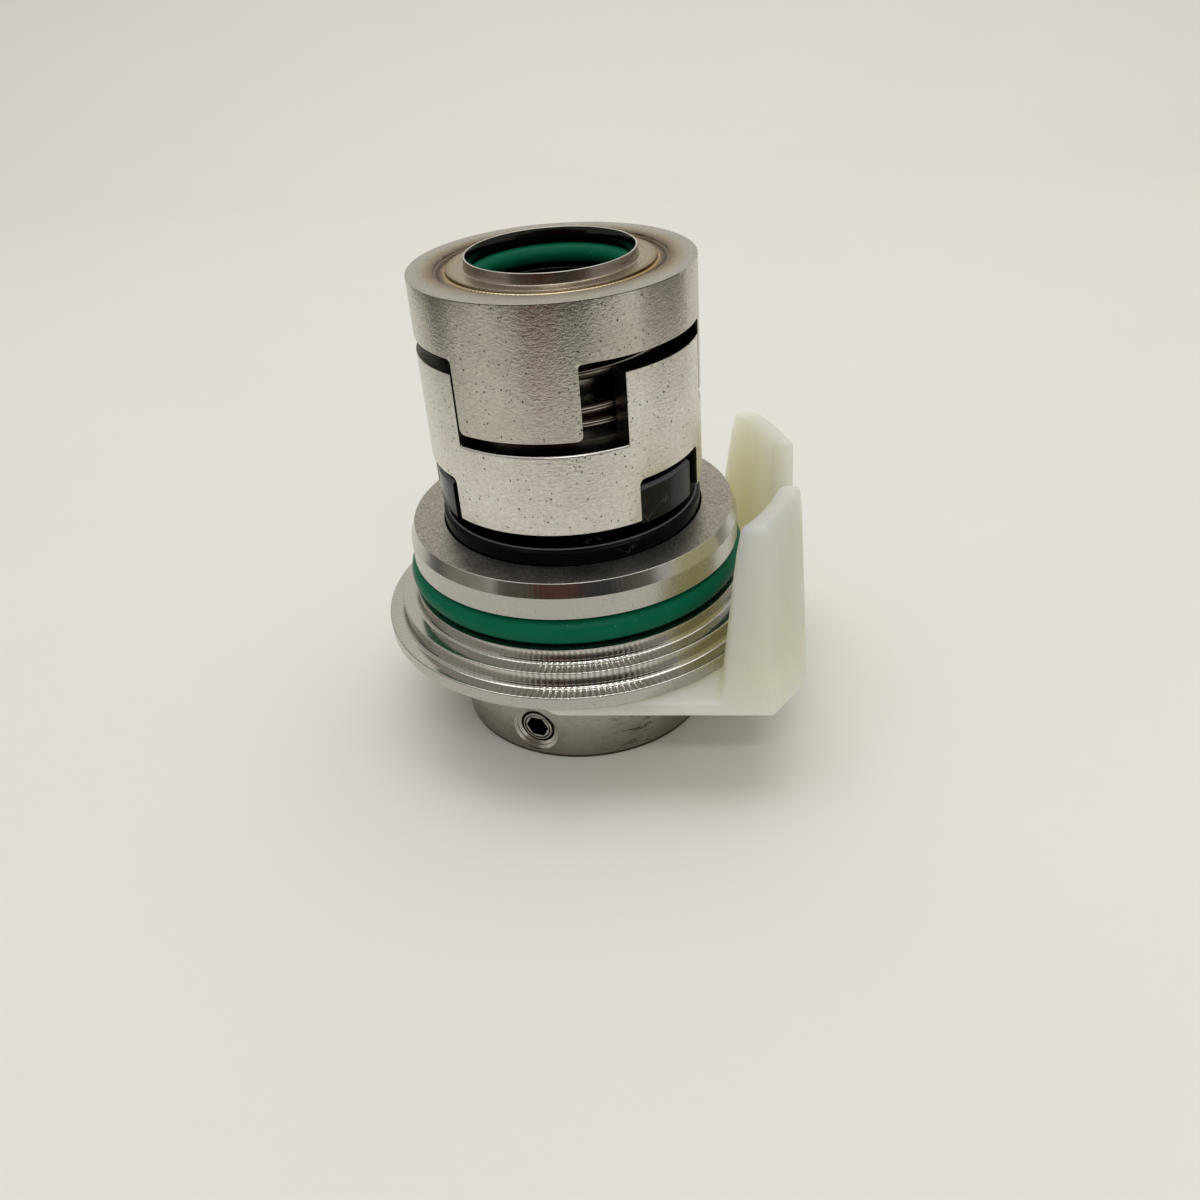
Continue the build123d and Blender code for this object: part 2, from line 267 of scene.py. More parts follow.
def rod(name, radius, length, vertices=48):
    """A closed rod along Z from the origin up, the start of holes, pins and screws."""
    bpy.ops.object.select_all(action="DESELECT")
    bpy.ops.mesh.primitive_cylinder_add(
        radius=radius * MM, depth=length * MM, vertices=vertices, location=(0, 0, length * MM / 2))
    bpy.ops.object.transform_apply(location=True)
    bpy.context.object.name = name
    return bpy.context.object


def lay_along(piece, angle, near):
    """Lays a piece that stands on the origin along a radius, at the set screws' height."""
    laid = Matrix.Translation((near * MM, 0, SCREW_HEIGHT * MM)) @ Matrix.Rotation(pi / 2, 4, "Y")
    piece.data.transform(Matrix.Rotation(radians(angle), 4, "Z") @ laid)


def soften(piece, width, steps=2, limit=35.0):
    """Breaks a piece's sharp edges by a small bevel."""
    modifier = piece.modifiers.new("Edges", "BEVEL")
    modifier.width = width * MM
    modifier.segments = steps
    modifier.limit_method = "ANGLE"
    modifier.angle_limit = radians(limit)
    modifier.use_clamp_overlap = True
    apply_all(piece)


def shade(piece, limit=40.0):
    """Smooth shading in which the large faces stay flat beside small roundings."""
    choose(piece)
    bpy.ops.object.shade_smooth_by_angle(angle=radians(limit))
    modifier = piece.modifiers.new("Normals", "WEIGHTED_NORMAL")
    modifier.keep_sharp = True
    modifier.weight = 100
    apply_all(piece)


def dress(piece, names, body, slot, *nodes):
    """Gives a finished piece its finishes by name, its body and the solids that it stands for."""
    for name in names.split():
        piece.data.materials.append(finishes[name])
    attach(piece, body)
    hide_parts(*nodes)


def paint(piece, index, wanted):
    """Gives the faces that a test on centre and normal accepts one of the piece's materials."""
    for face in piece.data.polygons:
        if wanted(face.center, face.normal):
            face.material_index = index


# ---------------------------------------------------------------- materials

def linear(colour):
    """Linear colour from an sRGB hex string."""
    values = [int(colour[start:start + 2], 16) / 255 for start in (0, 2, 4)]
    return [value / 12.92 if value <= 0.04045 else ((value + 0.055) / 1.055) ** 2.4
            for value in values] + [1.0]


def feed(tree, node, inputs):
    """Fills a node's inputs, each from a value, a socket or a node's first live output."""
    for name, value in inputs.items():
        if isinstance(value, bpy.types.Node):
            value = next(output for output in value.outputs if output.enabled)
        if isinstance(value, bpy.types.NodeSocket):
            tree.links.new(value, node.inputs[name])
        else:
            node.inputs[name].default_value = value


def add(tree, kind, inputs=None, **settings):
    """Adds a shader node with its settings and its inputs."""
    made = tree.nodes.new("ShaderNode" + kind)
    for name, value in settings.items():
        setattr(made, name, value)
    feed(tree, made, inputs or {})
    return made


def finish(name, **values):
    """A new material with its tree and its shader, which gets its constant values."""
    made = bpy.data.materials.new(name)
    made.use_nodes = True
    shader = made.node_tree.nodes["Principled BSDF"]
    for socket, value in values.items():
        shader.inputs[socket.replace("_", " ")].default_value = value
    return made, made.node_tree, shader


def from_shaft(tree, place):
    """The three parts of a place, and its distance from the shaft."""
    split = add(tree, "SeparateXYZ", {"Vector": place}).outputs
    across = add(tree, "CombineXYZ", {"X": split["X"], "Y": split["Y"]})
    return split, add(tree, "VectorMath", {0: across}, operation="LENGTH")


def waves_round(tree, split, number):
    """The angle round the shaft, and a sine with so many waves to a turn."""
    angle = add(tree, "Math", {0: split["Y"], 1: split["X"]}, operation="ARCTAN2")
    count = add(tree, "Math", {0: angle, 1: number}, operation="MULTIPLY")
    return angle, add(tree, "Math", {0: count}, operation="SINE")


def heat_bands(tree, split, radius, cloud, ragged, span, tints, front, least, cold):
    """Bands of heat tint over a span of radius, with ragged edges. Towards the front they fade
    to the cold colour. Lengths are in millimetres."""
    spread = add(tree, "Math", {0: cloud, 1: ragged * MM}, operation="MULTIPLY")
    moved = add(tree, "Math", {0: radius, 1: spread}, operation="ADD")
    share = add(tree, "MapRange", {"Value": moved, "From Min": span[0] * MM, "From Max": span[1] * MM})
    bands = add(tree, "ValToRGB", {"Fac": share})
    stops = bands.color_ramp.elements
    stops[0].color = linear(tints[0][1])
    stops[1].color = linear(tints[-1][1])
    for position, tint in tints[1:-1]:
        stops.new(position).color = linear(tint)
    fade = add(tree, "MapRange", {"Value": split["Y"], "From Min": front[0] * MM, "From Max": front[1] * MM,
                                  "To Min": least})
    return add(tree, "Mix", {"Factor": fade, 6: linear(cold), 7: bands}, data_type="RGBA")


def tumbled_stainless(name, colour, tint, roughness=0.3, relief=0.07):
    """Cast stainless steel, tumbled: a satin orange-peel skin with open pores and soft stains."""
    made, tree, shader = finish(name, Metallic=1.0)
    place = add(tree, "TexCoord").outputs["Object"]
    wander = add(tree, "TexNoise", {"Vector": place, "Scale": 3500.0, "Detail": 3.0})
    moved = add(tree, "Mix", {"Factor": 0.0006, 4: place, 5: wander.outputs["Color"]}, data_type="VECTOR")
    # a skin of 0.6 mm bumps, a little coarser than the real one so that it shows
    flat = add(tree, "Mapping", {"Vector": place, "Scale": (1.0, 1.0, 1.7)})
    skin = add(tree, "TexNoise", {"Vector": flat, "Scale": 1600.0, "Detail": 3.0, "Roughness": 0.6})
    cloud = add(tree, "TexNoise", {"Vector": place, "Scale": 130.0, "Detail": 4.0, "Roughness": 0.6})
    crowd = add(tree, "TexNoise", {"Vector": place, "Scale": 90.0, "Detail": 1.0})
    height = add(tree, "Math", {0: skin, 1: relief}, operation="MULTIPLY")
    dark = None
    # pores in cells of 3.3, 1.4 and 0.8 mm, the widest 0.3 to 0.4 mm across
    for scale, share, size in ((300.0, 0.55, 0.075), (700.0, 1.0, 0.15), (1300.0, 1.5, 0.24)):
        cells = add(tree, "TexVoronoi", {"Vector": moved, "Scale": scale})
        chance = add(tree, "SeparateColor", {"Color": cells.outputs["Color"]}).outputs
        limit = add(tree, "Math", {0: crowd, 1: share}, operation="MULTIPLY")
        here = add(tree, "Math", {0: chance["Red"], 1: limit}, operation="LESS_THAN")
        width = add(tree, "MapRange", {"Value": chance["Green"], "To Min": size * 0.4, "To Max": size})
        part = add(tree, "Math", {0: cells, 1: width}, operation="DIVIDE")
        hole = add(tree, "MapRange", {"Value": part, "From Min": 0.55, "To Min": 1.0, "To Max": 0.0},
                   interpolation_type="SMOOTHSTEP")
        pore = add(tree, "Math", {0: hole, 1: here}, operation="MULTIPLY")
        deep = add(tree, "Math", {0: pore, 1: 0.09}, operation="MULTIPLY")
        height = add(tree, "Math", {0: height, 1: deep}, operation="SUBTRACT")
        dark = pore if dark is None else add(tree, "Math", {0: dark, 1: pore}, operation="MAXIMUM")
    stained = add(tree, "Mix", {"Factor": cloud, 6: linear(colour), 7: linear(tint)}, data_type="RGBA")
    mottle = add(tree, "MapRange", {"Value": skin, "From Min": 0.3, "From Max": 0.7,
                                    "To Min": 0.84, "To Max": 1.10})
    mottled = add(tree, "Mix", {"Factor": 1.0, 6: stained, 7: mottle},
                  data_type="RGBA", blend_type="MULTIPLY")
    depth = add(tree, "Math", {0: dark, 1: 0.9}, operation="MULTIPLY")
    pitted = add(tree, "Mix", {"Factor": depth, 6: mottled, 7: linear("2A2521")}, data_type="RGBA")
    rough = add(tree, "MapRange", {"Value": cloud, "To Min": roughness * 0.8, "To Max": roughness * 1.2})
    bump = add(tree, "Bump", {"Strength": 1.0, "Distance": MM, "Height": height})
    feed(tree, shader, {"Base Color": pitted, "Roughness": rough, "Normal": bump})
    return made


def turned_stainless(name, colour, roughness, groove=0.002, chatter=0.0, stain=0.06, stretch=0.3, heat=(),
                     foot_shade=0.0, grain=0.0):
    """Stainless steel off the lathe: fine rings round the shaft stretch its highlights along the
    axis. Where the tool chattered it has small even waves round the shaft, striped with painted
    highlight and shade; beside a weld it has bands of heat tint; and near its foot it may be darker,
    a painted shade, and scuffed."""
    made, tree, shader = finish(name, Metallic=1.0, Anisotropic=stretch, Anisotropic_Rotation=0.25)
    place = add(tree, "TexCoord").outputs["Object"]
    split, radius = from_shaft(tree, place)
    # rings 0.15 mm apart, drawn coarser than the tool's feed so that they show
    rings = add(tree, "CombineXYZ", {"X": radius, "Y": split["Z"]})
    lines = add(tree, "TexNoise", {"Vector": rings, "Scale": 6500.0, "Detail": 1.0, "Roughness": 0.7})
    cloud = add(tree, "TexNoise", {"Vector": place, "Scale": 160.0, "Detail": 4.0, "Roughness": 0.65})
    mixed = add(tree, "Math", {0: lines, 1: cloud}, operation="ADD")
    tones = [add(tree, "MapRange", {"Value": mixed, "From Min": 0.6, "From Max": 1.4,
                                    "To Min": 1.0 - stain, "To Max": 1.0 + stain})]
    bump = add(tree, "Bump", {"Distance": groove * MM, "Height": lines})
    base = linear(colour)
    if heat:
        inner, outer = 11.55, 21.05
        tints = [((where - inner) / (outer - inner), tint) for where, tint in heat]
        base = heat_bands(tree, split, radius, cloud, 0.9, (inner + 0.45, outer + 0.45),
                          [(0.0, heat[0][1]), *tints, (1.0, colour)], (-19.0, -7.0), 0.35, heat[-1][1])
    if grain:
        fine = add(tree, "TexNoise", {"Vector": place, "Scale": 2800.0, "Detail": 3.0, "Roughness": 0.8})
        tones.append(add(tree, "MapRange", {"Value": fine, "From Min": 0.35, "From Max": 0.65,
                                            "To Min": 1.0 - grain, "To Max": 1.0 + grain}))
    if chatter:
        angle, wave = waves_round(tree, split, 204.0)
        # the waves, and their painted stripes of highlight and shade, are strongest within 13 degrees of -82,
        # where the front lamp catches them
        away = add(tree, "Math", {0: angle, 1: radians(-82.0)}, operation="SUBTRACT")
        aside = add(tree, "Math", {0: away}, operation="ABSOLUTE")
        front_lit = add(tree, "MapRange", {"Value": aside, "From Min": radians(13.0), "From Max": radians(24.0),
                                        "To Min": 1.0, "To Max": 0.1})
        swing = add(tree, "Math", {0: wave, 1: front_lit}, operation="MULTIPLY")
        tones.append(add(tree, "MapRange", {"Value": swing, "From Min": -1.0, "From Max": 0.3,
                                            "To Min": 1.0 - 27.0 * chatter}))
        bump = add(tree, "Bump", {"Distance": chatter * MM, "Height": swing, "Normal": bump})
    for tone in tones:
        base = add(tree, "Mix", {"Factor": 1.0, 6: base, 7: tone},
                   data_type="RGBA", blend_type="MULTIPLY")
    specks = add(tree, "TexNoise", {"Vector": place, "Scale": 2600.0, "Detail": 2.0})
    dust = add(tree, "MapRange", {"Value": specks, "From Min": 0.67, "From Max": 0.74, "To Max": 0.4})
    marks = [(dust, "4A443C")]
    # painted shade: the colour darkens towards the foot, for the shaded floor that the foot reflects
    if foot_shade:
        ragged = add(tree, "Math", {0: cloud, 1: 4.0 * MM}, operation="MULTIPLY")
        level = add(tree, "Math", {0: split["Z"], 1: ragged}, operation="ADD")
        foot_shade_mask = add(tree, "MapRange", {"Value": level, "From Min": 1.5 * MM, "From Max": 9.0 * MM,
                                      "To Min": foot_shade, "To Max": 0.0})
        # it was scuffed in one place, about 10 mm along the rim
        away = add(tree, "VectorMath", {0: place, 1: tuple(at(18.5, -63.0, 4.6))}, operation="DISTANCE")
        near = add(tree, "MapRange", {"Value": away, "From Min": 1.0 * MM, "From Max": 7.0 * MM,
                                      "To Min": 0.16, "To Max": 0.0})
        flat = add(tree, "Mapping", {"Vector": place, "Rotation": (0.0, -0.16, 0.0),
                                     "Scale": (0.3, 0.3, 2.6)})
        rubbed = add(tree, "TexNoise", {"Vector": flat, "Scale": 1100.0, "Detail": 4.0, "Roughness": 0.75})
        patchy = add(tree, "Math", {0: rubbed, 1: near}, operation="ADD")
        scuffs = add(tree, "MapRange", {"Value": patchy, "From Min": 0.63, "From Max": 0.70, "To Max": 0.8})
        marks += [(foot_shade_mask, "5B5347"), (scuffs, "3A332B")]
    for mark, tint in marks:
        base = add(tree, "Mix", {"Factor": mark, 6: base, 7: linear(tint)}, data_type="RGBA")
    rough = add(tree, "MapRange", {"Value": cloud, "From Min": 0.3, "From Max": 0.7,
                                   "To Min": roughness * 0.85, "To Max": roughness * 1.15})
    tangent = add(tree, "Tangent", direction_type="RADIAL", axis="Z")
    feed(tree, shader, {"Base Color": base, "Roughness": rough, "Normal": bump, "Tangent": tangent})
    return made


def drawn_wire():
    """Spring steel drawn through a die: dark, with fine lines along the wire that are painted pale, as
    painted highlights.
    """
    made, tree, shader = finish("drawn_spring_steel", Metallic=1.0, Roughness=0.3)
    around = add(tree, "Attribute", attribute_name="around").outputs["Fac"]
    # lines about 0.3 mm apart on a 2 mm wire; their pale colour is a painted highlight
    lines = add(tree, "TexNoise", {"W": around, "Scale": 3.4, "Detail": 1.0}, noise_dimensions="1D")
    ramp = add(tree, "MapRange", {"Value": lines, "From Min": 0.54, "From Max": 0.64})
    mixed = add(tree, "Mix", {"Factor": ramp, 6: linear("3F362F"), 7: linear("E6DCCD")}, data_type="RGBA")
    bump = add(tree, "Bump", {"Distance": 0.02 * MM, "Height": lines})
    feed(tree, shader, {"Base Color": mixed, "Normal": bump})
    return made


def tinted_weld():
    """Weld bead in stainless steel: ripples across it, and bands of gold and brown from its heat."""
    made, tree, shader = finish("heat_tinted_weld", Metallic=1.0)
    place = add(tree, "TexCoord").outputs["Object"]
    split, radius = from_shaft(tree, place)
    cloud = add(tree, "TexNoise", {"Vector": place, "Scale": 220.0, "Detail": 4.0})
    tints = ((0.0, "8C7652"), (0.15, "BC9F66"), (0.4, "5E3E20"), (0.7, "4A3018"), (1.0, "8A7A64"))
    bands = heat_bands(tree, split, radius, cloud, 0.5, (15.5, 17.3), tints, (-16.0, -6.0), 0.3, "E4D9BE")
    ripple = waves_round(tree, split, 150.0)[1]
    bump = add(tree, "Bump", {"Distance": 0.008 * MM, "Height": ripple})
    rough = add(tree, "MapRange", {"Value": cloud, "To Min": 0.2, "To Max": 0.4})
    feed(tree, shader, {"Base Color": bands, "Roughness": rough, "Normal": bump})
    return made


def green_rubber():
    """Moulded fluoro rubber: satin green with a faint bloom and a few specks of dust."""
    made, tree, shader = finish("moulded_green_rubber", Specular_IOR_Level=0.1)
    place = add(tree, "TexCoord").outputs["Object"]
    bloom = add(tree, "TexNoise", {"Vector": place, "Scale": 240.0, "Detail": 5.0, "Roughness": 0.6})
    grain = add(tree, "TexNoise", {"Vector": place, "Scale": 3000.0, "Detail": 2.0})
    mixed = add(tree, "Mix", {"Factor": bloom, 6: linear("00583C"), 7: linear("006B4C")}, data_type="RGBA")
    specks = add(tree, "MapRange", {"Value": grain, "From Min": 0.70, "From Max": 0.76, "To Max": 0.4})
    dusted = add(tree, "Mix", {"Factor": specks, 6: mixed, 7: linear("7FA89A")}, data_type="RGBA")
    rough = add(tree, "MapRange", {"Value": bloom, "To Min": 0.30, "To Max": 0.50})
    bump = add(tree, "Bump", {"Distance": 0.004 * MM, "Height": grain})
    feed(tree, shader, {"Base Color": dusted, "Roughness": rough, "Normal": bump})
    return made


def silicon_carbide(name, colour, shine=0.2):
    """Sintered and ground ceramic: near black, with a soft gloss and patches of pale hair marks."""
    made, tree, shader = finish(name, Specular_IOR_Level=shine)
    place = add(tree, "TexCoord").outputs["Object"]
    bent = add(tree, "TexNoise", {"Vector": place, "Scale": 180.0, "Detail": 2.0})
    moved = add(tree, "Mix", {"Factor": 0.012, 4: place, 5: bent.outputs["Color"]}, data_type="VECTOR")
    cells = add(tree, "TexVoronoi", {"Vector": moved, "Scale": 120.0}, feature="DISTANCE_TO_EDGE")
    thin = add(tree, "MapRange", {"Value": cells, "From Max": 0.009, "To Min": 1.0, "To Max": 0.0})
    patch = add(tree, "TexNoise", {"Vector": place, "Scale": 160.0, "Detail": 3.0})
    where = add(tree, "MapRange", {"Value": patch, "From Min": 0.54, "From Max": 0.62})
    marks = add(tree, "Math", {0: thin, 1: where}, operation="MULTIPLY")
    faint = add(tree, "Math", {0: marks, 1: 0.5}, operation="MULTIPLY")
    mixed = add(tree, "Mix", {"Factor": faint, 6: linear(colour), 7: linear("8C8C88")}, data_type="RGBA")
    rough = add(tree, "MapRange", {"Value": patch, "To Min": 0.12, "To Max": 0.24})
    grain = add(tree, "TexNoise", {"Vector": place, "Scale": 4000.0, "Detail": 2.0})
    bump = add(tree, "Bump", {"Distance": 0.002 * MM, "Height": grain})
    feed(tree, shader, {"Base Color": mixed, "Roughness": rough, "Normal": bump})
    return made


def natural_nylon(colour, shadow):
    """Moulded natural nylon: milky and translucent, so that light bleeds through its edges."""
    made, tree, shader = finish(
        "moulded_natural_nylon", Subsurface_Weight=0.9, Subsurface_Scale=40 * MM,
        Subsurface_Radius=(1.0, 0.92, 0.55), IOR=1.53, Specular_IOR_Level=0.4)
    place = add(tree, "TexCoord").outputs["Object"]
    cloud = add(tree, "TexNoise", {"Vector": place, "Scale": 90.0, "Detail": 3.0, "Roughness": 0.5})
    # flow lines run up the tabs, about 2 mm apart
    stretch = add(tree, "Mapping", {"Vector": place, "Scale": (1.0, 1.0, 0.06)})
    flow = add(tree, "TexNoise", {"Vector": stretch, "Scale": 520.0, "Detail": 2.0})
    both = add(tree, "Math", {0: cloud, 1: flow}, operation="ADD")
    share = add(tree, "MapRange", {"Value": both, "From Min": 0.4, "From Max": 1.6})
    mixed = add(tree, "Mix", {"Factor": share, 6: linear(colour), 7: linear(shadow)}, data_type="RGBA")
    grain = add(tree, "TexNoise", {"Vector": place, "Scale": 1800.0, "Detail": 3.0})
    rough = add(tree, "MapRange", {"Value": grain, "To Min": 0.34, "To Max": 0.5})
    bump = add(tree, "Bump", {"Distance": 0.006 * MM, "Height": grain})
    feed(tree, shader, {"Base Color": mixed, "Roughness": rough, "Normal": bump})
    return made


def pale_card(name, colour):
    """Matt paper with the faintest mottle, for the backdrop and for the cards of painted shade."""
    made, tree, shader = finish(name, Roughness=0.75, Specular_IOR_Level=0.2)
    place = add(tree, "TexCoord").outputs["Object"]
    cloud = add(tree, "TexNoise", {"Vector": place, "Scale": 14.0, "Detail": 1.0})
    tone = add(tree, "MapRange", {"Value": cloud, "To Min": 0.985, "To Max": 1.015})
    mottled = add(tree, "Mix", {"Factor": 1.0, 6: linear(colour), 7: tone},
                  data_type="RGBA", blend_type="MULTIPLY")
    feed(tree, shader, {"Base Color": mottled})
    return made


finishes = {}


def make_finishes(looks):
    """Makes every finish once, from the colours in the panel."""
    if finishes:
        return
    steel = looks.steel
    finishes.update({
        "cast": tumbled_stainless("tumbled_cast_stainless", steel, "D6D0C4"),
        "skirt": tumbled_stainless("finely_tumbled_stainless", "D2CEC5", "B9B2A5", 0.25, relief=0.035),
        # painted shade: a dark finish for insides, holes, threads and the collar's foot, where shade falls
        "inner": tumbled_stainless("sooted_cast_stainless", "5A5248", "443D35"),
        "faced": turned_stainless("faced_stainless", "CFCBC2", 0.30, groove=0.0015),
        "heated": turned_stainless("heat_tinted_stainless", "BAB6AC", 0.28, stretch=0.1, grain=0.14, heat=(
            (12.6, "B2A793"), (14.3, "AFA088"), (15.0, "9C8460"), (15.4, "5E4228"), (17.0, "5C4028"),
            (17.5, "84673F"), (18.2, "A18E70"), (19.0, "B1A897"), (19.8, "BAB6AC"))),
        # painted reflection: a darker brown for the lip, standing in for the dark things it reflects
        "lip": turned_stainless("rolled_lip_stainless", "A2958A", 0.26, stretch=0.0),
        # painted shade: a dark finish for the inside of the sleeve's bore
        "bore": turned_stainless("oiled_bore_stainless", "34352F", 0.14, stretch=0.0),
        "land": turned_stainless("ground_stainless", "BBB9B2", 0.27, groove=0.0015),
        # painted highlight, partly real wear: a brighter, smoother finish for thin bright edges
        "worn": turned_stainless("worn_bright_stainless", "DAD6CE", 0.24, stretch=0.0),
        "wall": tumbled_stainless("shaded_cast_stainless", "857B6E", "6E6559"),
        # painted glints: the chatter stripes in these two finishes are painted highlight and shade
        "chattered": turned_stainless("chattered_stainless", "CFCCC5", 0.15, chatter=0.016, stretch=0.15),
        "chamfer": turned_stainless("lightly_chattered_stainless", "C9C6BF", 0.22, chatter=0.004,
                                    stretch=0.15),
        "dull": turned_stainless("dull_faced_stainless", "AAA49B", 0.36, groove=0.003, stain=0.12,
                                 stretch=0.1, grain=0.4),
        # painted shade: the collar darkens towards its foot
        "collar": turned_stainless("satin_turned_stainless", "B9B5AD", 0.28, groove=0.0015, stain=0.1,
                                   foot_shade=0.7, grain=0.08),
        "screw": turned_stainless("bright_screw_steel", "CCC8C2", 0.25, groove=0.0, stretch=0.0),
        "wire": drawn_wire(),
        "weld": tinted_weld(),
        "rubber": green_rubber(),
        "carbide": silicon_carbide("ground_silicon_carbide", "101113"),
        "lapped": silicon_carbide("lapped_silicon_carbide", "050506", 0.08),
        # painted highlights: paler carbide for the thin bright lines along the seat's chamfer and the lugs'
        # bevels
        "chipped": silicon_carbide("chamfered_silicon_carbide", "6A6B6D"),
        "bevelled": silicon_carbide("bevelled_silicon_carbide", "56575A"),
        "nylon": natural_nylon(looks.nylon, looks.nylon_shade),
    })


# ---------------------------------------------------------------- panel values

class SealLooks(bpy.types.PropertyGroup):
    """Colours and the edge size that a user would change."""
    steel: StringProperty(name="Cast steel", description="sRGB colour of the tumbled steel", default="EAE7E1")
    nylon: StringProperty(name="Nylon", description="sRGB colour of the clip", default="D6D2C0")
    nylon_shade: StringProperty(name="Nylon shade", description="sRGB colour of its flow lines",
                                default="CECAB6")
    edge: FloatProperty(name="Edge", description="Bevel on the cast edges, in mm", default=0.14, min=0.02,
                        max=0.4)


class SealLugs(bpy.types.PropertyGroup):
    """Where the castellations begin and how wide they are, in degrees."""
    lug_start: FloatProperty(name="Lug start", description="Where the first drive lug begins", default=-127.4)
    lug_width: FloatProperty(name="Lug width", description="Angle that a drive lug covers", default=52.0)
    slot_start: FloatProperty(name="Slot start", description="Where the first slot begins", default=-128.4)
    slot_width: FloatProperty(name="Slot width", description="Angle that a slot covers", default=71.0)
    notch_start: FloatProperty(name="Notch start", description="Where the first notch begins", default=-53.6)
    notch_width: FloatProperty(name="Notch width", description="Angle that a notch covers", default=39.0)


class SealCoil(bpy.types.PropertyGroup):
    """How the spring is wound, in degrees and millimetres."""
    start: FloatProperty(name="Start", description="Angle where the wire begins", default=137.0)
    closed_turns: FloatProperty(name="Closed turns", description="Turns that touch at each end", default=1.4)
    pitch: FloatProperty(name="Pitch", description="Rise of an open turn", default=5.4, min=2.1)


class SealStage(bpy.types.PropertyGroup):
    """Camera and light."""
    camera: FloatVectorProperty(name="Camera", description="Where the camera stands", subtype="TRANSLATION",
                                default=(0.0234015, -0.1584749, 0.1179953), precision=6)
    yaw: FloatProperty(name="Yaw", description="Turn of the camera about Z", default=radians(7.274),
                       subtype="ANGLE")
    pitch: FloatProperty(name="Pitch", description="How far it looks down", default=radians(32.269),
                         subtype="ANGLE")
    roll: FloatProperty(name="Roll", description="Its lean", default=radians(-4.546), subtype="ANGLE")
    lens: FloatProperty(name="Lens", description="Focal length", default=33.0, min=10.0, max=200.0)
    floor: StringProperty(name="Floor", description="sRGB colour of the floor", default="E9E7E1")
    lamp: FloatProperty(name="Lamp", description="Power of the main lamp", default=3.85, min=0.0,
                        subtype="POWER")
    tent: FloatProperty(name="Tent", description="Brightness of the light tent around it", default=0.5,
                        min=0.0)


# ---------------------------------------------------------------- pieces

class SEAL_OT_housing(bpy.types.Operator):
    """Spring housing: a thick ring with three drive lugs below its skirt"""
    bl_idname = "seal.housing"
    bl_label = "Spring housing"

    def execute(self, context):
        lugs = context.scene.seal_lugs
        looks = context.scene.seal_looks
        make_finishes(looks)
        outer = reach("spring_housing")
        cavity = outer - WALL
        lug_foot = foot("spring_housing")
        lug_top = lug_foot + LUG_LENGTH
        plate_foot = head_foot()
        crown = top("spring_housing")
        weld = reach("weld_seam")
        head = weld - 1.75
        gap_width = 120.0 - lugs.lug_width
        corner = 3.2
        spans = []
        for width in (lugs.lug_width, gap_width) * 3:
            spans += [(corner, 1), (width - 2 * corner, round(width)), (corner, 1)]
        piece = turned("Spring_Housing", [
            (head, plate_foot), (cavity, plate_foot), (cavity, lug_top), (cavity, lug_foot),
            (outer, lug_foot), (outer, lug_top), (outer, crown - 2.0), (outer, crown), (weld, crown),
            (weld, crown - 1.3), (head, crown - 1.3)], spans, lugs.lug_start)
        for turn in LUG_ANGLES:
            start = lugs.lug_start + lugs.lug_width + turn
            open_gap(piece, start, gap_width, lug_foot, lug_top)
            for height, radius in ((lug_top, 0.7), (lug_foot, 0.9)):
                round_corners(piece, (start, start + gap_width), height, radius)
        soften(piece, looks.edge)
        shade(piece)
        dress(piece, "skirt heated inner", "rotor", "tumbled_steel", "spring_housing")
        paint(piece, 1, lambda centre, normal: normal.z > 0.9 and centre.z > (crown - 0.3) * MM)
        # painted shade on the faces inside the skirt
        paint(piece, 2, lambda centre, normal: centre.z < plate_foot * MM and outward(centre, normal) < 0.5)
        # a dark line along the front of the crown's edge: a painted reflection, in the painted-shade finish
        paint(piece, 2, lambda centre, normal: centre.z > (crown - 0.3) * MM and 0.2 < normal.z < 0.9
              and centre.xy.length > (outer - 0.3) * MM and between(centre, -128.0, 100.0))
        return {"FINISHED"}


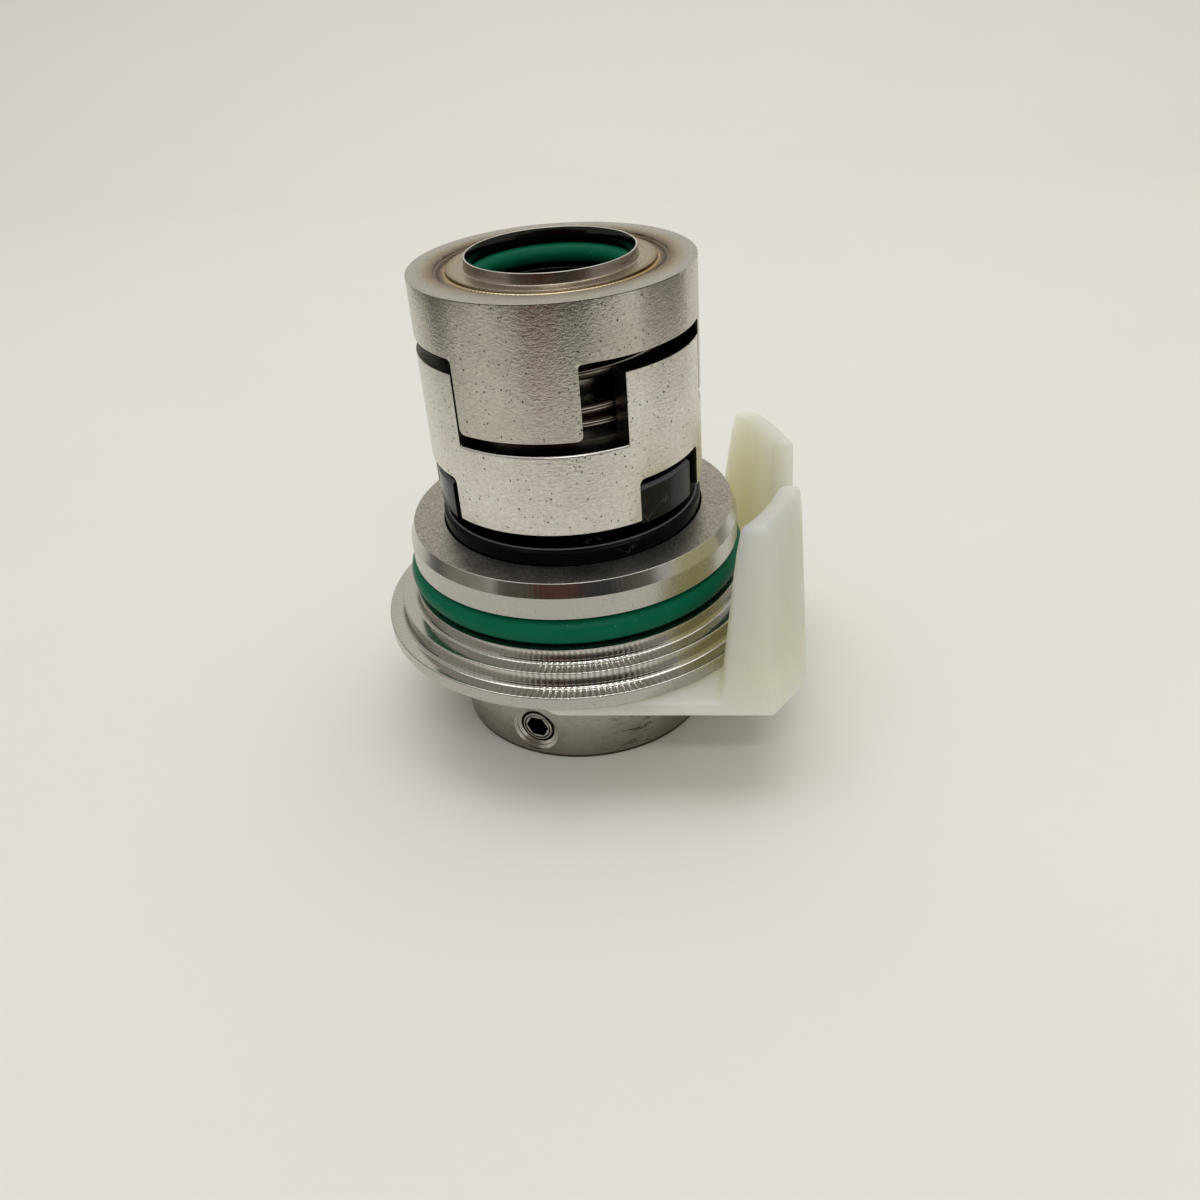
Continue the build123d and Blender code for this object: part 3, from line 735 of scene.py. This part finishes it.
class SEAL_OT_carrier(bpy.types.Operator):
    """Face carrier: slots above for the housing's lugs, notches below for the seal ring's lugs"""
    bl_idname = "seal.carrier"
    bl_label = "Face carrier"

    def execute(self, context):
        lugs = context.scene.seal_lugs
        looks = context.scene.seal_looks
        make_finishes(looks)
        outer = reach("face_carrier")
        cavity = outer - WALL
        low = foot("face_carrier")
        high = top("face_carrier")
        # a hair below the lugs when the carrier is right up
        slot_foot = high - 10.68
        notch_top = low + 6.6
        web_foot = top("rotating_seal_ring")
        web_top = foot("thrust_washer")
        bore = 12.9
        slot_end = lugs.slot_start + lugs.slot_width
        before = lugs.notch_start - slot_end
        after = 120.0 - lugs.slot_width - before - lugs.notch_width
        corner = 3.2
        period = [(lugs.slot_width, round(lugs.slot_width)), (before, 1), (corner, 1),
                  (lugs.notch_width - 2 * corner, round(lugs.notch_width)), (corner, 1),
                  (after / 2, 1), (after / 2, 1)]
        piece = turned("Face_Carrier", [
            (cavity, low), (outer, low), (outer, notch_top), (outer, slot_foot), (outer, high),
            (cavity, high), (cavity, slot_foot), (cavity, web_top), (bore, web_top), (bore, web_foot),
            (cavity, web_foot), (cavity, notch_top)], period * 3, lugs.slot_start)
        for turn in LUG_ANGLES:
            open_gap(piece, lugs.slot_start + turn, lugs.slot_width, slot_foot, high)
            notch = lugs.notch_start + turn
            open_gap(piece, notch, lugs.notch_width, low, notch_top)
            round_corners(piece, (notch, notch + lugs.notch_width), notch_top, 0.95)
        edit(piece)
        pick(piece, "edges", lambda edge: is_rim(edge, outer, slot_foot) and edge.calc_face_angle(0.0) > 1.0)
        bpy.ops.mesh.bevel(offset=0.24 * MM, segments=1, affect="EDGES")
        leave()
        soften(piece, looks.edge)
        shade(piece)
        dress(piece, "cast inner wall worn", "floating_face", "tumbled_steel", "face_carrier")
        # painted shade on the carrier's inside faces and on the sides of its slots
        paint(piece, 1, lambda centre, normal: centre.z > (low + 0.3) * MM and outward(centre, normal) < 0.5)
        paint(piece, 2, lambda centre, normal: centre.z > (slot_foot - 0.1) * MM and abs(normal.z) < 0.3
              and abs(outward(centre, normal)) < 0.3)
        # painted highlight, partly real wear, on the bevel along the foot of the slots
        paint(piece, 3, lambda centre, normal: abs(centre.z - slot_foot * MM) < 0.3 * MM
              and 0.2 < normal.z < 0.97 and outward(centre, normal) > 0.1)
        return {"FINISHED"}


class SEAL_OT_sleeve(bpy.types.Operator):
    """Shaft sleeve with its head and thin lip, the weld beside the head and the O-ring inside"""
    bl_idname = "seal.sleeve"
    bl_label = "Shaft sleeve and weld"

    def execute(self, context):
        make_finishes(context.scene.seal_looks)
        crown = top("spring_housing")
        lip_top = top("shaft_sleeve")
        weld_r = reach("weld_seam")
        head = reach("shaft_sleeve")
        plate_foot = head_foot()
        groove_r = 13.8
        groove_top = crown - 0.5
        groove_foot = groove_top - 3.8
        bore = 11.05
        lip = 12.0
        tube = 12.5
        piece = turned("Shaft_Sleeve", [
            (bore, 0, 0.3), (tube, 0, 0.15), (tube, plate_foot), (head, plate_foot), (head, crown, 0.12),
            (13.75, crown, 0.06), (13.65, crown - 0.1), (12.74, crown - 0.1, 0.15), (12.6, crown + 0.6),
            (12.55, lip_top, 0.05), (12.3, lip_top, 0.05), (lip, lip_top - 1.0), (lip, groove_top),
            (groove_r, groove_top), (groove_r, groove_foot), (bore, groove_foot, 0.15)])
        for angle in SCREW_ANGLES:
            hole = rod("Hole", 2.25, 4.0)
            lay_along(hole, angle, 9.8)
            cut(piece, hole)
        shade(piece)
        dress(piece, "heated lip bore worn", "rotor", "turned_steel", "shaft_sleeve")
        # painted reflection: the lip above the crown takes the darker brown
        paint(piece, 1, lambda centre, normal: centre.z > (crown + 0.05) * MM)
        # painted shade down the bore and in the O-ring's groove
        paint(piece, 2, lambda centre, normal: centre.z < (lip_top - 0.05) * MM
              and centre.xy.length < (lip + 0.35) * MM or centre.xy.length < (groove_r + 0.1) * MM
              and (groove_foot - 0.1) * MM < centre.z < (groove_top + 0.1) * MM)
        # painted highlight on the lip's top edge
        paint(piece, 3, lambda centre, normal: centre.z > (lip_top - 0.05) * MM and normal.z > 0.4)
        bead = turned("Weld_Seam", [
            (head, crown - 1.3), (weld_r, crown - 1.3), (weld_r, crown - 0.28, 0.08),
            (weld_r - 0.45, crown - 0.62), (weld_r - 0.9, crown - 0.42, 0.5), (head + 0.35, crown - 0.55),
            (head, crown - 0.3, 0.08)])
        shade(bead, 60.0)
        dress(bead, "weld", "rotor", "weld_tint", "weld_seam")
        return {"FINISHED"}


class SEAL_OT_o_rings(bpy.types.Operator):
    """O-rings with the fine flash line that their mould leaves inside and outside"""
    bl_idname = "seal.o_rings"
    bl_label = "O-rings"

    def execute(self, context):
        make_finishes(context.scene.seal_looks)
        flash = 0.03
        steps = 36
        for name, body in (("Shaft_O_Ring", "rotor"), ("Cover_O_Ring", "stationary_cover"),
                           ("Ring_O_Ring", "floating_face"), ("Seat_O_Ring", "stationary_cover")):
            node = name.lower()
            section = top(node) - foot(node)
            middle_r = reach(node) - section / 2
            middle_z = (foot(node) + top(node)) / 2
            corners = []
            for step in range(steps):
                angle = 2 * pi * step / steps
                size = section / 2 - (flash if step % (steps // 2) else 0.0)
                corners.append((middle_r + size * cos(angle), middle_z + size * sin(angle)))
            piece = turned(name, corners)
            shade(piece, 60.0)
            dress(piece, "rubber", body, "green_rubber", node)
        return {"FINISHED"}


class SEAL_OT_spring(bpy.types.Operator):
    """Coil spring with closed turns at both ends. The real one shortens as the seal face lifts; this one
    rides with the face, whole
    """
    bl_idname = "seal.spring"
    bl_label = "Coil spring"

    def execute(self, context):
        coil = context.scene.seal_coil
        make_finishes(context.scene.seal_looks)
        wire = 2.0
        low = top("thrust_washer")
        high = head_foot()
        middle = reach("coil_spring") - wire / 2
        first = low + wire / 2
        closed = wire + 0.08
        open_turns = (high - low - wire - 2 * coil.closed_turns * closed) / coil.pitch
        stretches = ((coil.closed_turns, closed), (open_turns, coil.pitch), (coil.closed_turns, closed))
        piece = None
        angle = coil.start
        height = first
        for turns, pitch in stretches:
            ring = draw("Coil_Spring", [
                at(middle + wire / 2 * cos(radians(side)), angle, height + wire / 2 * sin(radians(side)))
                for side in range(0, 360, 15)])
            leave()
            screw = ring.modifiers.new("Winding", "SCREW")
            screw.angle = 2 * pi * turns
            screw.screw_offset = pitch * turns * MM
            screw.steps = screw.render_steps = round(64 * turns)
            apply_all(ring)
            angle += 360.0 * turns
            height += pitch * turns
            if piece is None:
                piece = ring
                continue
            join(piece, ring)
        edit(piece)
        bpy.ops.mesh.select_all(action="SELECT")
        bpy.ops.mesh.remove_doubles(threshold=0.01 * MM)
        pick(piece, "edges", lambda edge: edge.is_boundary)
        bpy.ops.mesh.edge_face_add()
        tidy_normals()
        # the place of each vertex around the wire, which the drawn lines follow
        around = []
        for vertex in piece.data.vertices:
            part = (bearing(vertex.co) - coil.start) % 360.0 / 360.0
            heights = []
            for turns in range(5):
                opened = min(max(part + turns - coil.closed_turns, 0.0), open_turns)
                heights.append(first + closed * (part + turns - opened) + coil.pitch * opened)
            centre = min(heights, key=lambda value: abs(value - vertex.co.z / MM))
            around.append(atan2(vertex.co.z / MM - centre, vertex.co.xy.length / MM - middle))
        layer = piece.data.attributes.new("around", "FLOAT", "POINT")
        layer.data.foreach_set("value", around)
        shade(piece, 60.0)
        dress(piece, "wire", "floating_face", "spring_steel", "coil_spring")
        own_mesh(piece)
        return {"FINISHED"}


class SEAL_OT_seal_rings(bpy.types.Operator):
    """The black rotating ring with its side lugs, and the stationary seat below it"""
    bl_idname = "seal.seal_rings"
    bl_label = "Seal rings"

    def execute(self, context):
        make_finishes(context.scene.seal_looks)
        face = foot("rotating_seal_ring")
        high = top("rotating_seal_ring")
        lug_r = reach("face_carrier") - 0.45
        body_r = 17.3
        nose_bore = 14.4
        nose_r = 16.4
        nose_top = face + 1.9
        pocket = 15.26
        pocket_floor = high - 3.2
        bore = 13.2
        lug_top = nose_top + 6.0
        lug_width = 32.4
        start = -52.8
        piece = turned("Rotating_Seal_Ring", [
            (nose_bore, face, 0.1), (nose_r, face, 0.15), (nose_r, nose_top), (body_r, nose_top),
            (body_r, lug_top), (body_r, high), (pocket, high), (pocket, pocket_floor), (bore, pocket_floor),
            (bore, nose_top), (nose_bore, face + 0.95)],
            ((lug_width, 28), (120.0 - lug_width, 56)) * 3, start)
        edit(piece)
        pick(piece, "faces", lambda item: item.calc_center_median().xy.length > (body_r - 0.2) * MM
             and abs(item.normal.z) < 0.1 and nose_top * MM < item.calc_center_median().z < lug_top * MM
             and any(between(item.calc_center_median(), start + turn, lug_width, -0.05)
                     for turn in LUG_ANGLES))
        bpy.ops.mesh.extrude_region_move()
        grow = lug_r / body_r
        bpy.ops.transform.resize(value=(grow, grow, 1.0), center_override=(0, 0, 0))
        tidy_normals()
        edit(piece)
        pick(piece, "edges", lambda edge: is_rim(edge, lug_r, lug_top))
        bpy.ops.mesh.bevel(offset=0.5 * MM, segments=1, affect="EDGES")
        leave()
        soften(piece, 0.09)
        shade(piece)
        dress(piece, "carbide bevelled", "floating_face", "silicon_carbide", "rotating_seal_ring")
        # painted highlight on the lugs' top bevels
        paint(piece, 1, lambda centre, normal: centre.xy.length > (body_r + 0.5) * MM
              and 0.3 < normal.z < 0.9)

        seat_r = reach("stationary_seat")
        seat_bore = 13.7
        seat_foot = foot("stationary_seat")
        shelf = 17.925
        shelf_z = seat_foot + 3.3
        seat = turned("Stationary_Seat", [
            (seat_bore, seat_foot, 0.2), (shelf, seat_foot, 0.2), (shelf, shelf_z), (seat_r, shelf_z, 0.2),
            (seat_r, face - 0.5, 0.1), (seat_r - 0.5, face - 0.14), (seat_r - 0.72, face),
            (seat_bore, face, 0.15)])
        for angle in PIN_ANGLES:
            bpy.ops.object.select_all(action="DESELECT")
            bpy.ops.mesh.primitive_cube_add(size=3.4 * MM)
            slot = bpy.context.object
            slot.data.transform(Matrix.Rotation(radians(angle), 4, "Z")
                                @ Matrix.Translation((15.8 * MM, 0, seat_foot * MM + 0.7 * MM)))
            cut(seat, slot)
        shade(seat)
        dress(seat, "lapped chipped", "stationary_cover", "silicon_carbide", "stationary_seat")
        # painted highlight along the seat's top chamfer
        paint(seat, 1, lambda centre, normal: centre.z > (face - 0.15) * MM and 0.2 < normal.z < 0.95
              and centre.xy.length > (seat_r - 1.0) * MM)
        return {"FINISHED"}


class SEAL_OT_cover(bpy.types.Operator):
    """Seal cover: flange and step with round roots, two lands with the O-ring groove between"""
    bl_idname = "seal.cover"
    bl_label = "Seal cover"

    def execute(self, context):
        make_finishes(context.scene.seal_looks)
        rim = reach("seal_cover")
        low = foot("seal_cover")
        high = top("seal_cover")
        flange_top = low + 2.2
        step_top = flange_top + 2.6
        groove_foot = step_top + 2.3
        groove_top = groove_foot + 5.1
        land_top = groove_top + 3.6
        step_r = 29.6
        land_r = 27.0
        groove_r = 23.1
        upper_r = 26.55
        pocket = 20.8
        bore = 13.4
        floor = foot("stationary_seat")
        piece = turned("Seal_Cover", [
            (bore, low, 0.2), (rim, low, 0.2), (rim, flange_top, 0.22), (step_r, flange_top, 0.75),
            (step_r, step_top, 0.2), (land_r, step_top, 0.75), (land_r, groove_foot, 0.12),
            (groove_r, groove_foot, 0.3), (groove_r, groove_top, 0.3), (upper_r, groove_top, 0.12),
            (upper_r, land_top, 0.08), (upper_r - 0.8, high, 0.14), (pocket, high, 0.15),
            (pocket, floor, 0.2), (bore, floor, 0.2)], ((360.0, 300),))
        for angle in PIN_ANGLES:
            hole = rod("Hole", 1.52, 4.0)
            hole.data.transform(Matrix.Rotation(radians(angle), 4, "Z")
                                @ Matrix.Translation((15.8125 * MM, 0, (floor - 3.0) * MM)))
            cut(piece, hole)
        shade(piece)
        dress(piece, "land chattered dull chamfer", "stationary_cover", "turned_steel", "seal_cover")
        paint(piece, 2, lambda centre, normal: normal.z > 0.95 and centre.z > (high - 0.1) * MM)
        paint(piece, 3, lambda centre, normal: centre.z > land_top * MM and 0.2 < normal.z < 0.6)
        # from the flange top up to the groove the finish carries painted chatter stripes of highlight and
        # shade
        paint(piece, 1, lambda centre, normal: (flange_top - 0.1) * MM < centre.z < (groove_foot - 0.1) * MM)
        return {"FINISHED"}


class SEAL_OT_collar(bpy.types.Operator):
    """Drive collar with three tapped holes, each countersunk"""
    bl_idname = "seal.collar"
    bl_label = "Drive collar"

    def execute(self, context):
        make_finishes(context.scene.seal_looks)
        outer = reach("drive_collar")
        high = top("drive_collar")
        mouth_depth = 1.1
        over = 0.9
        piece = turned("Drive_Collar", [
            (COLLAR_BORE_R, 0, 0.3), (outer, 0, 0.25), (outer, 0.55), (outer, high / 2), (outer, high, 0.3),
            (COLLAR_BORE_R, high, 0.3)], ((360.0, 300),))
        for angle in SCREW_ANGLES:
            hole = rod("Hole", SCREW_R, outer - 12.0 + over)
            lay_along(hole, angle, 12.0)
            cut(piece, hole)
            # the countersink's tool left rings, drawn as four small steps
            rings = [(0.0, 0.0), (SCREW_R, 0.0)]
            for step in range(1, 5):
                widened = (mouth_depth + over) * step / 4
                rings += [(SCREW_R + widened, widened - 0.25), (SCREW_R + widened, widened)]
            mouth = turned("Mouth", rings + [(0.0, mouth_depth + over)], ((360.0, 72),))
            lay_along(mouth, angle, outer - mouth_depth)
            cut(piece, mouth)
        soften(piece, 0.08, limit=25.0)
        shade(piece, 25.0)
        dress(piece, "collar inner worn", "rotor", "turned_steel", "drive_collar")
        # painted highlight on the countersinks' faces, and painted shade down the holes
        for slot, near, far in ((2, outer - mouth_depth, outer - 0.04), (1, 13.0, outer - mouth_depth)):
            paint(piece, slot, lambda centre, normal: near * MM < centre.xy.length < far * MM
                  and 1.0 * MM < centre.z < 9.0 * MM)
        # painted shadow: a dark band round the foot, where it meets the floor
        paint(piece, 1, lambda centre, normal: centre.z < 0.55 * MM)
        return {"FINISHED"}


class SEAL_OT_screws(bpy.types.Operator):
    """Set screws with a hexagon socket and a dog point, one modelled and copied"""
    bl_idname = "seal.screws"
    bl_label = "Set screws"

    def execute(self, context):
        make_finishes(context.scene.seal_looks)
        outer = reach("drive_collar")
        head = outer - 0.9
        tip = 11.3
        length = head - tip
        shoulder = COLLAR_BORE_R + 0.45 - tip
        thread = SCREW_R - 0.06
        model = turned("Set_Screw", [
            (0.0, 0.0), (1.55, 0.0, 0.1), (2.0, 0.45, 0.1), (2.0, shoulder), (thread, shoulder + 0.5),
            (thread, length - 0.7), (2.57, length - 0.12, 0.05), (2.47, length, 0.05), (2.33, length, 0.04),
            (2.22, length - 0.25, 0.04), (2.06, length - 0.08, 0.04), (0.0, length - 0.08)], ((360.0, 72),))
        across_flats = 3.4
        socket_depth = 3.2
        hexagon = rod("Socket", across_flats / sqrt(3), socket_depth + 0.2, vertices=6)
        hexagon.data.transform(Matrix.Translation((0, 0, (length - socket_depth) * MM)))
        cut(model, hexagon)
        soften(model, 0.05, limit=30.0)
        shade(model, 30.0)
        for name in ("screw", "inner"):
            model.data.materials.append(finishes[name])
        # painted shade on the chamfer, the thread and the valley round the socket; the rest of the end stays
        # bright
        paint(model, 1, lambda centre, normal: centre.xy.length > 2.55 * MM or centre.z < (length - 0.4) * MM
              or (2.1 * MM < centre.xy.length < 2.31 * MM and centre.z < (length - 0.1) * MM))
        for index, angle in enumerate(SCREW_ANGLES, start=1):
            piece = model.copy()
            piece.data = model.data.copy()
            piece.name = f"Set_Screw_{index}"
            context.scene.collection.objects.link(piece)
            lay_along(piece, angle, tip)
            dress(piece, "", f"set_screw_{index}", "screw_steel", f"set_screw_{index}")
        bpy.data.objects.remove(model)
        return {"FINISHED"}


class SEAL_OT_clip(bpy.types.Operator):
    """Mounting clip: a forked plate with two leaning finger tabs, soft-edged as moulded"""
    bl_idname = "seal.clip"
    bl_label = "Mounting clip"

    def execute(self, context):
        make_finishes(context.scene.seal_looks)
        low, high = (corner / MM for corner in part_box("mounting_clip"))
        plate_height = 2.3
        plate_top = low.z + plate_height
        side = high.y
        reach_x = high.x
        corner_x = reach_x - 5.2
        corner_y = side - 8.1
        arm = -3.0
        slot_r = 12.8
        gap = 7.5
        outline = [(arm, -side, 2.5), (corner_x, -side, 0.8), (reach_x, -corner_y, 0.8),
                   (reach_x, corner_y, 0.8), (corner_x, side, 0.8), (arm, side, 2.5), (arm, slot_r, 2.0)]
        arc = [(slot_r * sin(radians(angle)), slot_r * cos(radians(angle))) for angle in range(0, 181, 6)]
        outline += arc + [(arm, -slot_r, 2.0)]
        plate = draw("Mounting_Clip", [Vector((x, y, low.z)) * MM for x, y in rounded(outline, 6)])
        bpy.ops.mesh.edge_face_add()
        bpy.ops.mesh.extrude_region_move(TRANSFORM_OT_translate={"value": (0, 0, plate_height * MM)})
        tidy_normals()
        hollow_foot = reach("seal_cover") + 0.46
        hollow_top = hollow_foot + 0.8
        foot_x = reach_x - 12.8
        levels = (
            (plate_top - 0.8, hollow_foot, (foot_x, side), (corner_x, side), (reach_x, corner_y)),
            (plate_top, hollow_foot, (foot_x, side), (corner_x, side), (reach_x, corner_y)),
            (high.z + 0.4, hollow_top, (foot_x + 2.5, 21.0), (corner_x - 0.9, 21.0), (34.0, corner_y - 9.0)))
        for sign in (1, -1):
            tab = None
            for height, hollow, heel, corner, shoulder in levels:
                gap_x = reach_x - (0.5 if height > high.z else 0.0)
                inner = sqrt(hollow ** 2 - gap ** 2)
                begin = degrees(atan2(gap, inner))
                end = degrees(atan2(sqrt(hollow ** 2 - heel[0] ** 2), heel[0]))
                steps = 14
                points = [heel, corner, shoulder, (gap_x, gap)]
                for step in range(steps + 1):
                    angle = radians(begin + (end - begin) * step / steps)
                    points.append((hollow * cos(angle), hollow * sin(angle)))
                loop = draw("Tab", [Vector((x, sign * y, height)) * MM for x, y in points])
                leave()
                if tab is None:
                    tab = loop
                    continue
                join(tab, loop)
            edit(tab)
            for level in (0, 1):
                heights = [levels[level][0] * MM, levels[level + 1][0] * MM]
                pick(tab, "edges", lambda edge: (edge.is_wire or edge.is_boundary) and is_level(edge)
                     and any(abs(edge.verts[0].co.z - height) < NEAR for height in heights))
                bpy.ops.mesh.bridge_edge_loops()
            for height in (levels[0][0], levels[2][0]):
                pick(tab, "edges", lambda edge: edge.is_boundary
                     and all(abs(vertex.co.z - height * MM) < NEAR for vertex in edge.verts))
                bpy.ops.mesh.edge_face_add()
            tidy_normals()
            join(plate, tab)
        remesh = plate.modifiers.new("Skin", "REMESH")
        remesh.mode = "VOXEL"
        remesh.voxel_size = 0.4 * MM
        apply_all(plate)
        group = plate.vertex_groups.new(name="Tabs")
        for vertex in plate.data.vertices:
            group.add([vertex.index], min(max(vertex.co.z / MM - plate_top - 1.0, 0.0) / 3.0, 1.0), "REPLACE")
        for group_name, rounds in (("", 6), ("Tabs", 45)):
            relax = plate.modifiers.new("Soft", "SMOOTH")
            relax.factor = 0.5
            relax.iterations = rounds
            relax.vertex_group = group_name
        apply_all(plate)
        bpy.ops.object.shade_smooth()
        dress(plate, "nylon", "clip", "clip_nylon", "mounting_clip")
        return {"FINISHED"}


class SEAL_OT_inner_parts(bpy.types.Operator):
    """Finishes for the inner parts that keep their solids: the thrust washer and the seat pins"""
    bl_idname = "seal.inner_parts"
    bl_label = "Inner parts"

    def execute(self, context):
        make_finishes(context.scene.seal_looks)
        for node in ("thrust_washer", "seat_pin_1", "seat_pin_2"):
            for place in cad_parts[node].material_slots:
                place.link = "OBJECT"
                place.material = finishes["faced"]
        return {"FINISHED"}


class SEAL_OT_stage(bpy.types.Operator):
    """Pale floor that sweeps up into a backdrop, soft lamps, cards of painted shade that only reflections
    see, and the camera
    """
    bl_idname = "seal.stage"
    bl_label = "Stage"

    def execute(self, context):
        stage = context.scene.seal_stage
        scene = context.scene
        back = 430.0
        bend = 160.0
        points = [(-3000.0, 0.0), (back, 0.0)]
        points += [(back + bend * sin(radians(angle)), bend - bend * cos(radians(angle)))
                   for angle in range(6, 91, 6)]
        points += [(back + bend, 1500.0)]
        sweep = draw("Backdrop", [Vector((-3.0, y * MM, z * MM)) for y, z in points])
        pick(sweep, "edges", lambda edge: edge.calc_length() > 3.6)
        bpy.ops.mesh.delete(type="EDGE")
        bpy.ops.mesh.select_all(action="SELECT")
        bpy.ops.mesh.extrude_edges_move(TRANSFORM_OT_translate={"value": (6.0, 0, 0)})
        leave()
        bpy.ops.object.shade_smooth_by_angle(angle=radians(40))
        sweep.data.materials.append(pale_card("backdrop_paper", stage.floor))

        # painted shade and reflection: dark cards that only reflections see, standing in for the shade in
        # front of the seal and the duller sides of the tent
        for name, place, size, colour in (
                ("Brown_Card", (-0.022, -0.205, 0.08), (0.105, 0.16), "52241B"),
                ("Slate_Card", (0.070, -0.200, 0.08), (0.088, 0.16), "303134"),
                ("Wide_Card", (0.02, -0.235, 0.08), (0.60, 0.16), "57514A"),
                ("Left_Card", (-0.21, 0.008, 0.035), (0.075, 0.07), "48484A"),
                ("Left_Wide_Card", (-0.245, 0.0, 0.035), (0.40, 0.07), "908C83"),
                ("Right_Card", (0.20, 0.034, 0.03), (0.20, 0.06), "96928A")):
            bpy.ops.object.select_all(action="DESELECT")
            bpy.ops.mesh.primitive_plane_add(size=1.0)
            card = context.object
            card.name = name
            facing = (Vector((0, 0, place[2])) - Vector(place)).to_track_quat("Z", "Y").to_matrix().to_4x4()
            card.data.transform(Matrix.Translation(place) @ facing @ Matrix.Diagonal((*size, 1.0, 1.0)))
            card.data.materials.append(pale_card(name.lower() + "_cloth", colour))
            for ray in ("camera", "diffuse", "transmission", "volume_scatter", "shadow"):
                setattr(card, "visible_" + ray, False)

        for name, place, aim, size, power in (
                ("Top_Lamp", (0.0, 0.16, 0.9), (0.0, 0.08, 0.0), (1.0, 0.7), stage.lamp),
                ("Front_Bar", (0.07, -0.40, 0.50), (0.0, 0.0, 0.05), (0.30, 0.03), stage.lamp * 0.12)):
            data = bpy.data.lights.new(name, "AREA")
            data.shape = "RECTANGLE"
            data.size, data.size_y = size
            data.energy = power
            lamp = bpy.data.objects.new(name, data)
            scene.collection.objects.link(lamp)
            lamp.location = place
            lamp.rotation_euler = (Vector(aim) - Vector(place)).to_track_quat("-Z", "Y").to_euler()

        world = bpy.data.worlds.new("Light_Tent")
        scene.world = world
        world.use_nodes = True
        world.node_tree.nodes["Background"].inputs["Color"].default_value = linear("FCFBF8")
        world.node_tree.nodes["Background"].inputs["Strength"].default_value = stage.tent

        data = bpy.data.cameras.new("Camera")
        data.lens = stage.lens
        data.sensor_width = 36.0
        data.clip_start = 0.005
        camera = bpy.data.objects.new("Camera", data)
        scene.collection.objects.link(camera)
        turn = (Matrix.Rotation(stage.yaw, 4, "Z") @ Matrix.Rotation(pi / 2 - stage.pitch, 4, "X")
                @ Matrix.Rotation(stage.roll, 4, "Z"))
        camera.matrix_world = Matrix.Translation(stage.camera) @ turn
        scene.camera = camera
        scene.view_settings.view_transform = "Standard"
        return {"FINISHED"}


class SEAL_PT_panel(bpy.types.Panel):
    """Seal panel in the sidebar"""
    bl_idname = "SEAL_PT_panel"
    bl_label = "Cartridge seal"
    bl_space_type = "VIEW_3D"
    bl_region_type = "UI"
    bl_category = "Seal"

    def draw(self, context):
        for name, group in GROUPS.items():
            box = self.layout.box()
            for value in group.__annotations__:
                box.prop(getattr(context.scene, name), value)
        for operator in OPERATORS:
            self.layout.operator(operator.bl_idname)


GROUPS = {"seal_looks": SealLooks, "seal_lugs": SealLugs, "seal_coil": SealCoil, "seal_stage": SealStage}
OPERATORS = (
    SEAL_OT_housing, SEAL_OT_carrier, SEAL_OT_sleeve, SEAL_OT_o_rings, SEAL_OT_spring, SEAL_OT_seal_rings,
    SEAL_OT_cover, SEAL_OT_collar, SEAL_OT_screws, SEAL_OT_clip, SEAL_OT_inner_parts, SEAL_OT_stage)


def register():
    for made in (*GROUPS.values(), *OPERATORS, SEAL_PT_panel):
        bpy.utils.register_class(made)
    for name, group in GROUPS.items():
        setattr(bpy.types.Scene, name, PointerProperty(type=group))


def unregister():
    for name in GROUPS:
        delattr(bpy.types.Scene, name)
    for made in reversed((*GROUPS.values(), *OPERATORS, SEAL_PT_panel)):
        bpy.utils.unregister_class(made)


def main():
    """Registers the add-on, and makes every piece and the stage."""
    register()
    for operator in OPERATORS:
        name = operator.bl_idname.split(".")[1]
        if getattr(bpy.ops.seal, name)() != {"FINISHED"}:
            raise RuntimeError(f"{operator.bl_label} was not made")


if __name__ == "__main__":
    main()
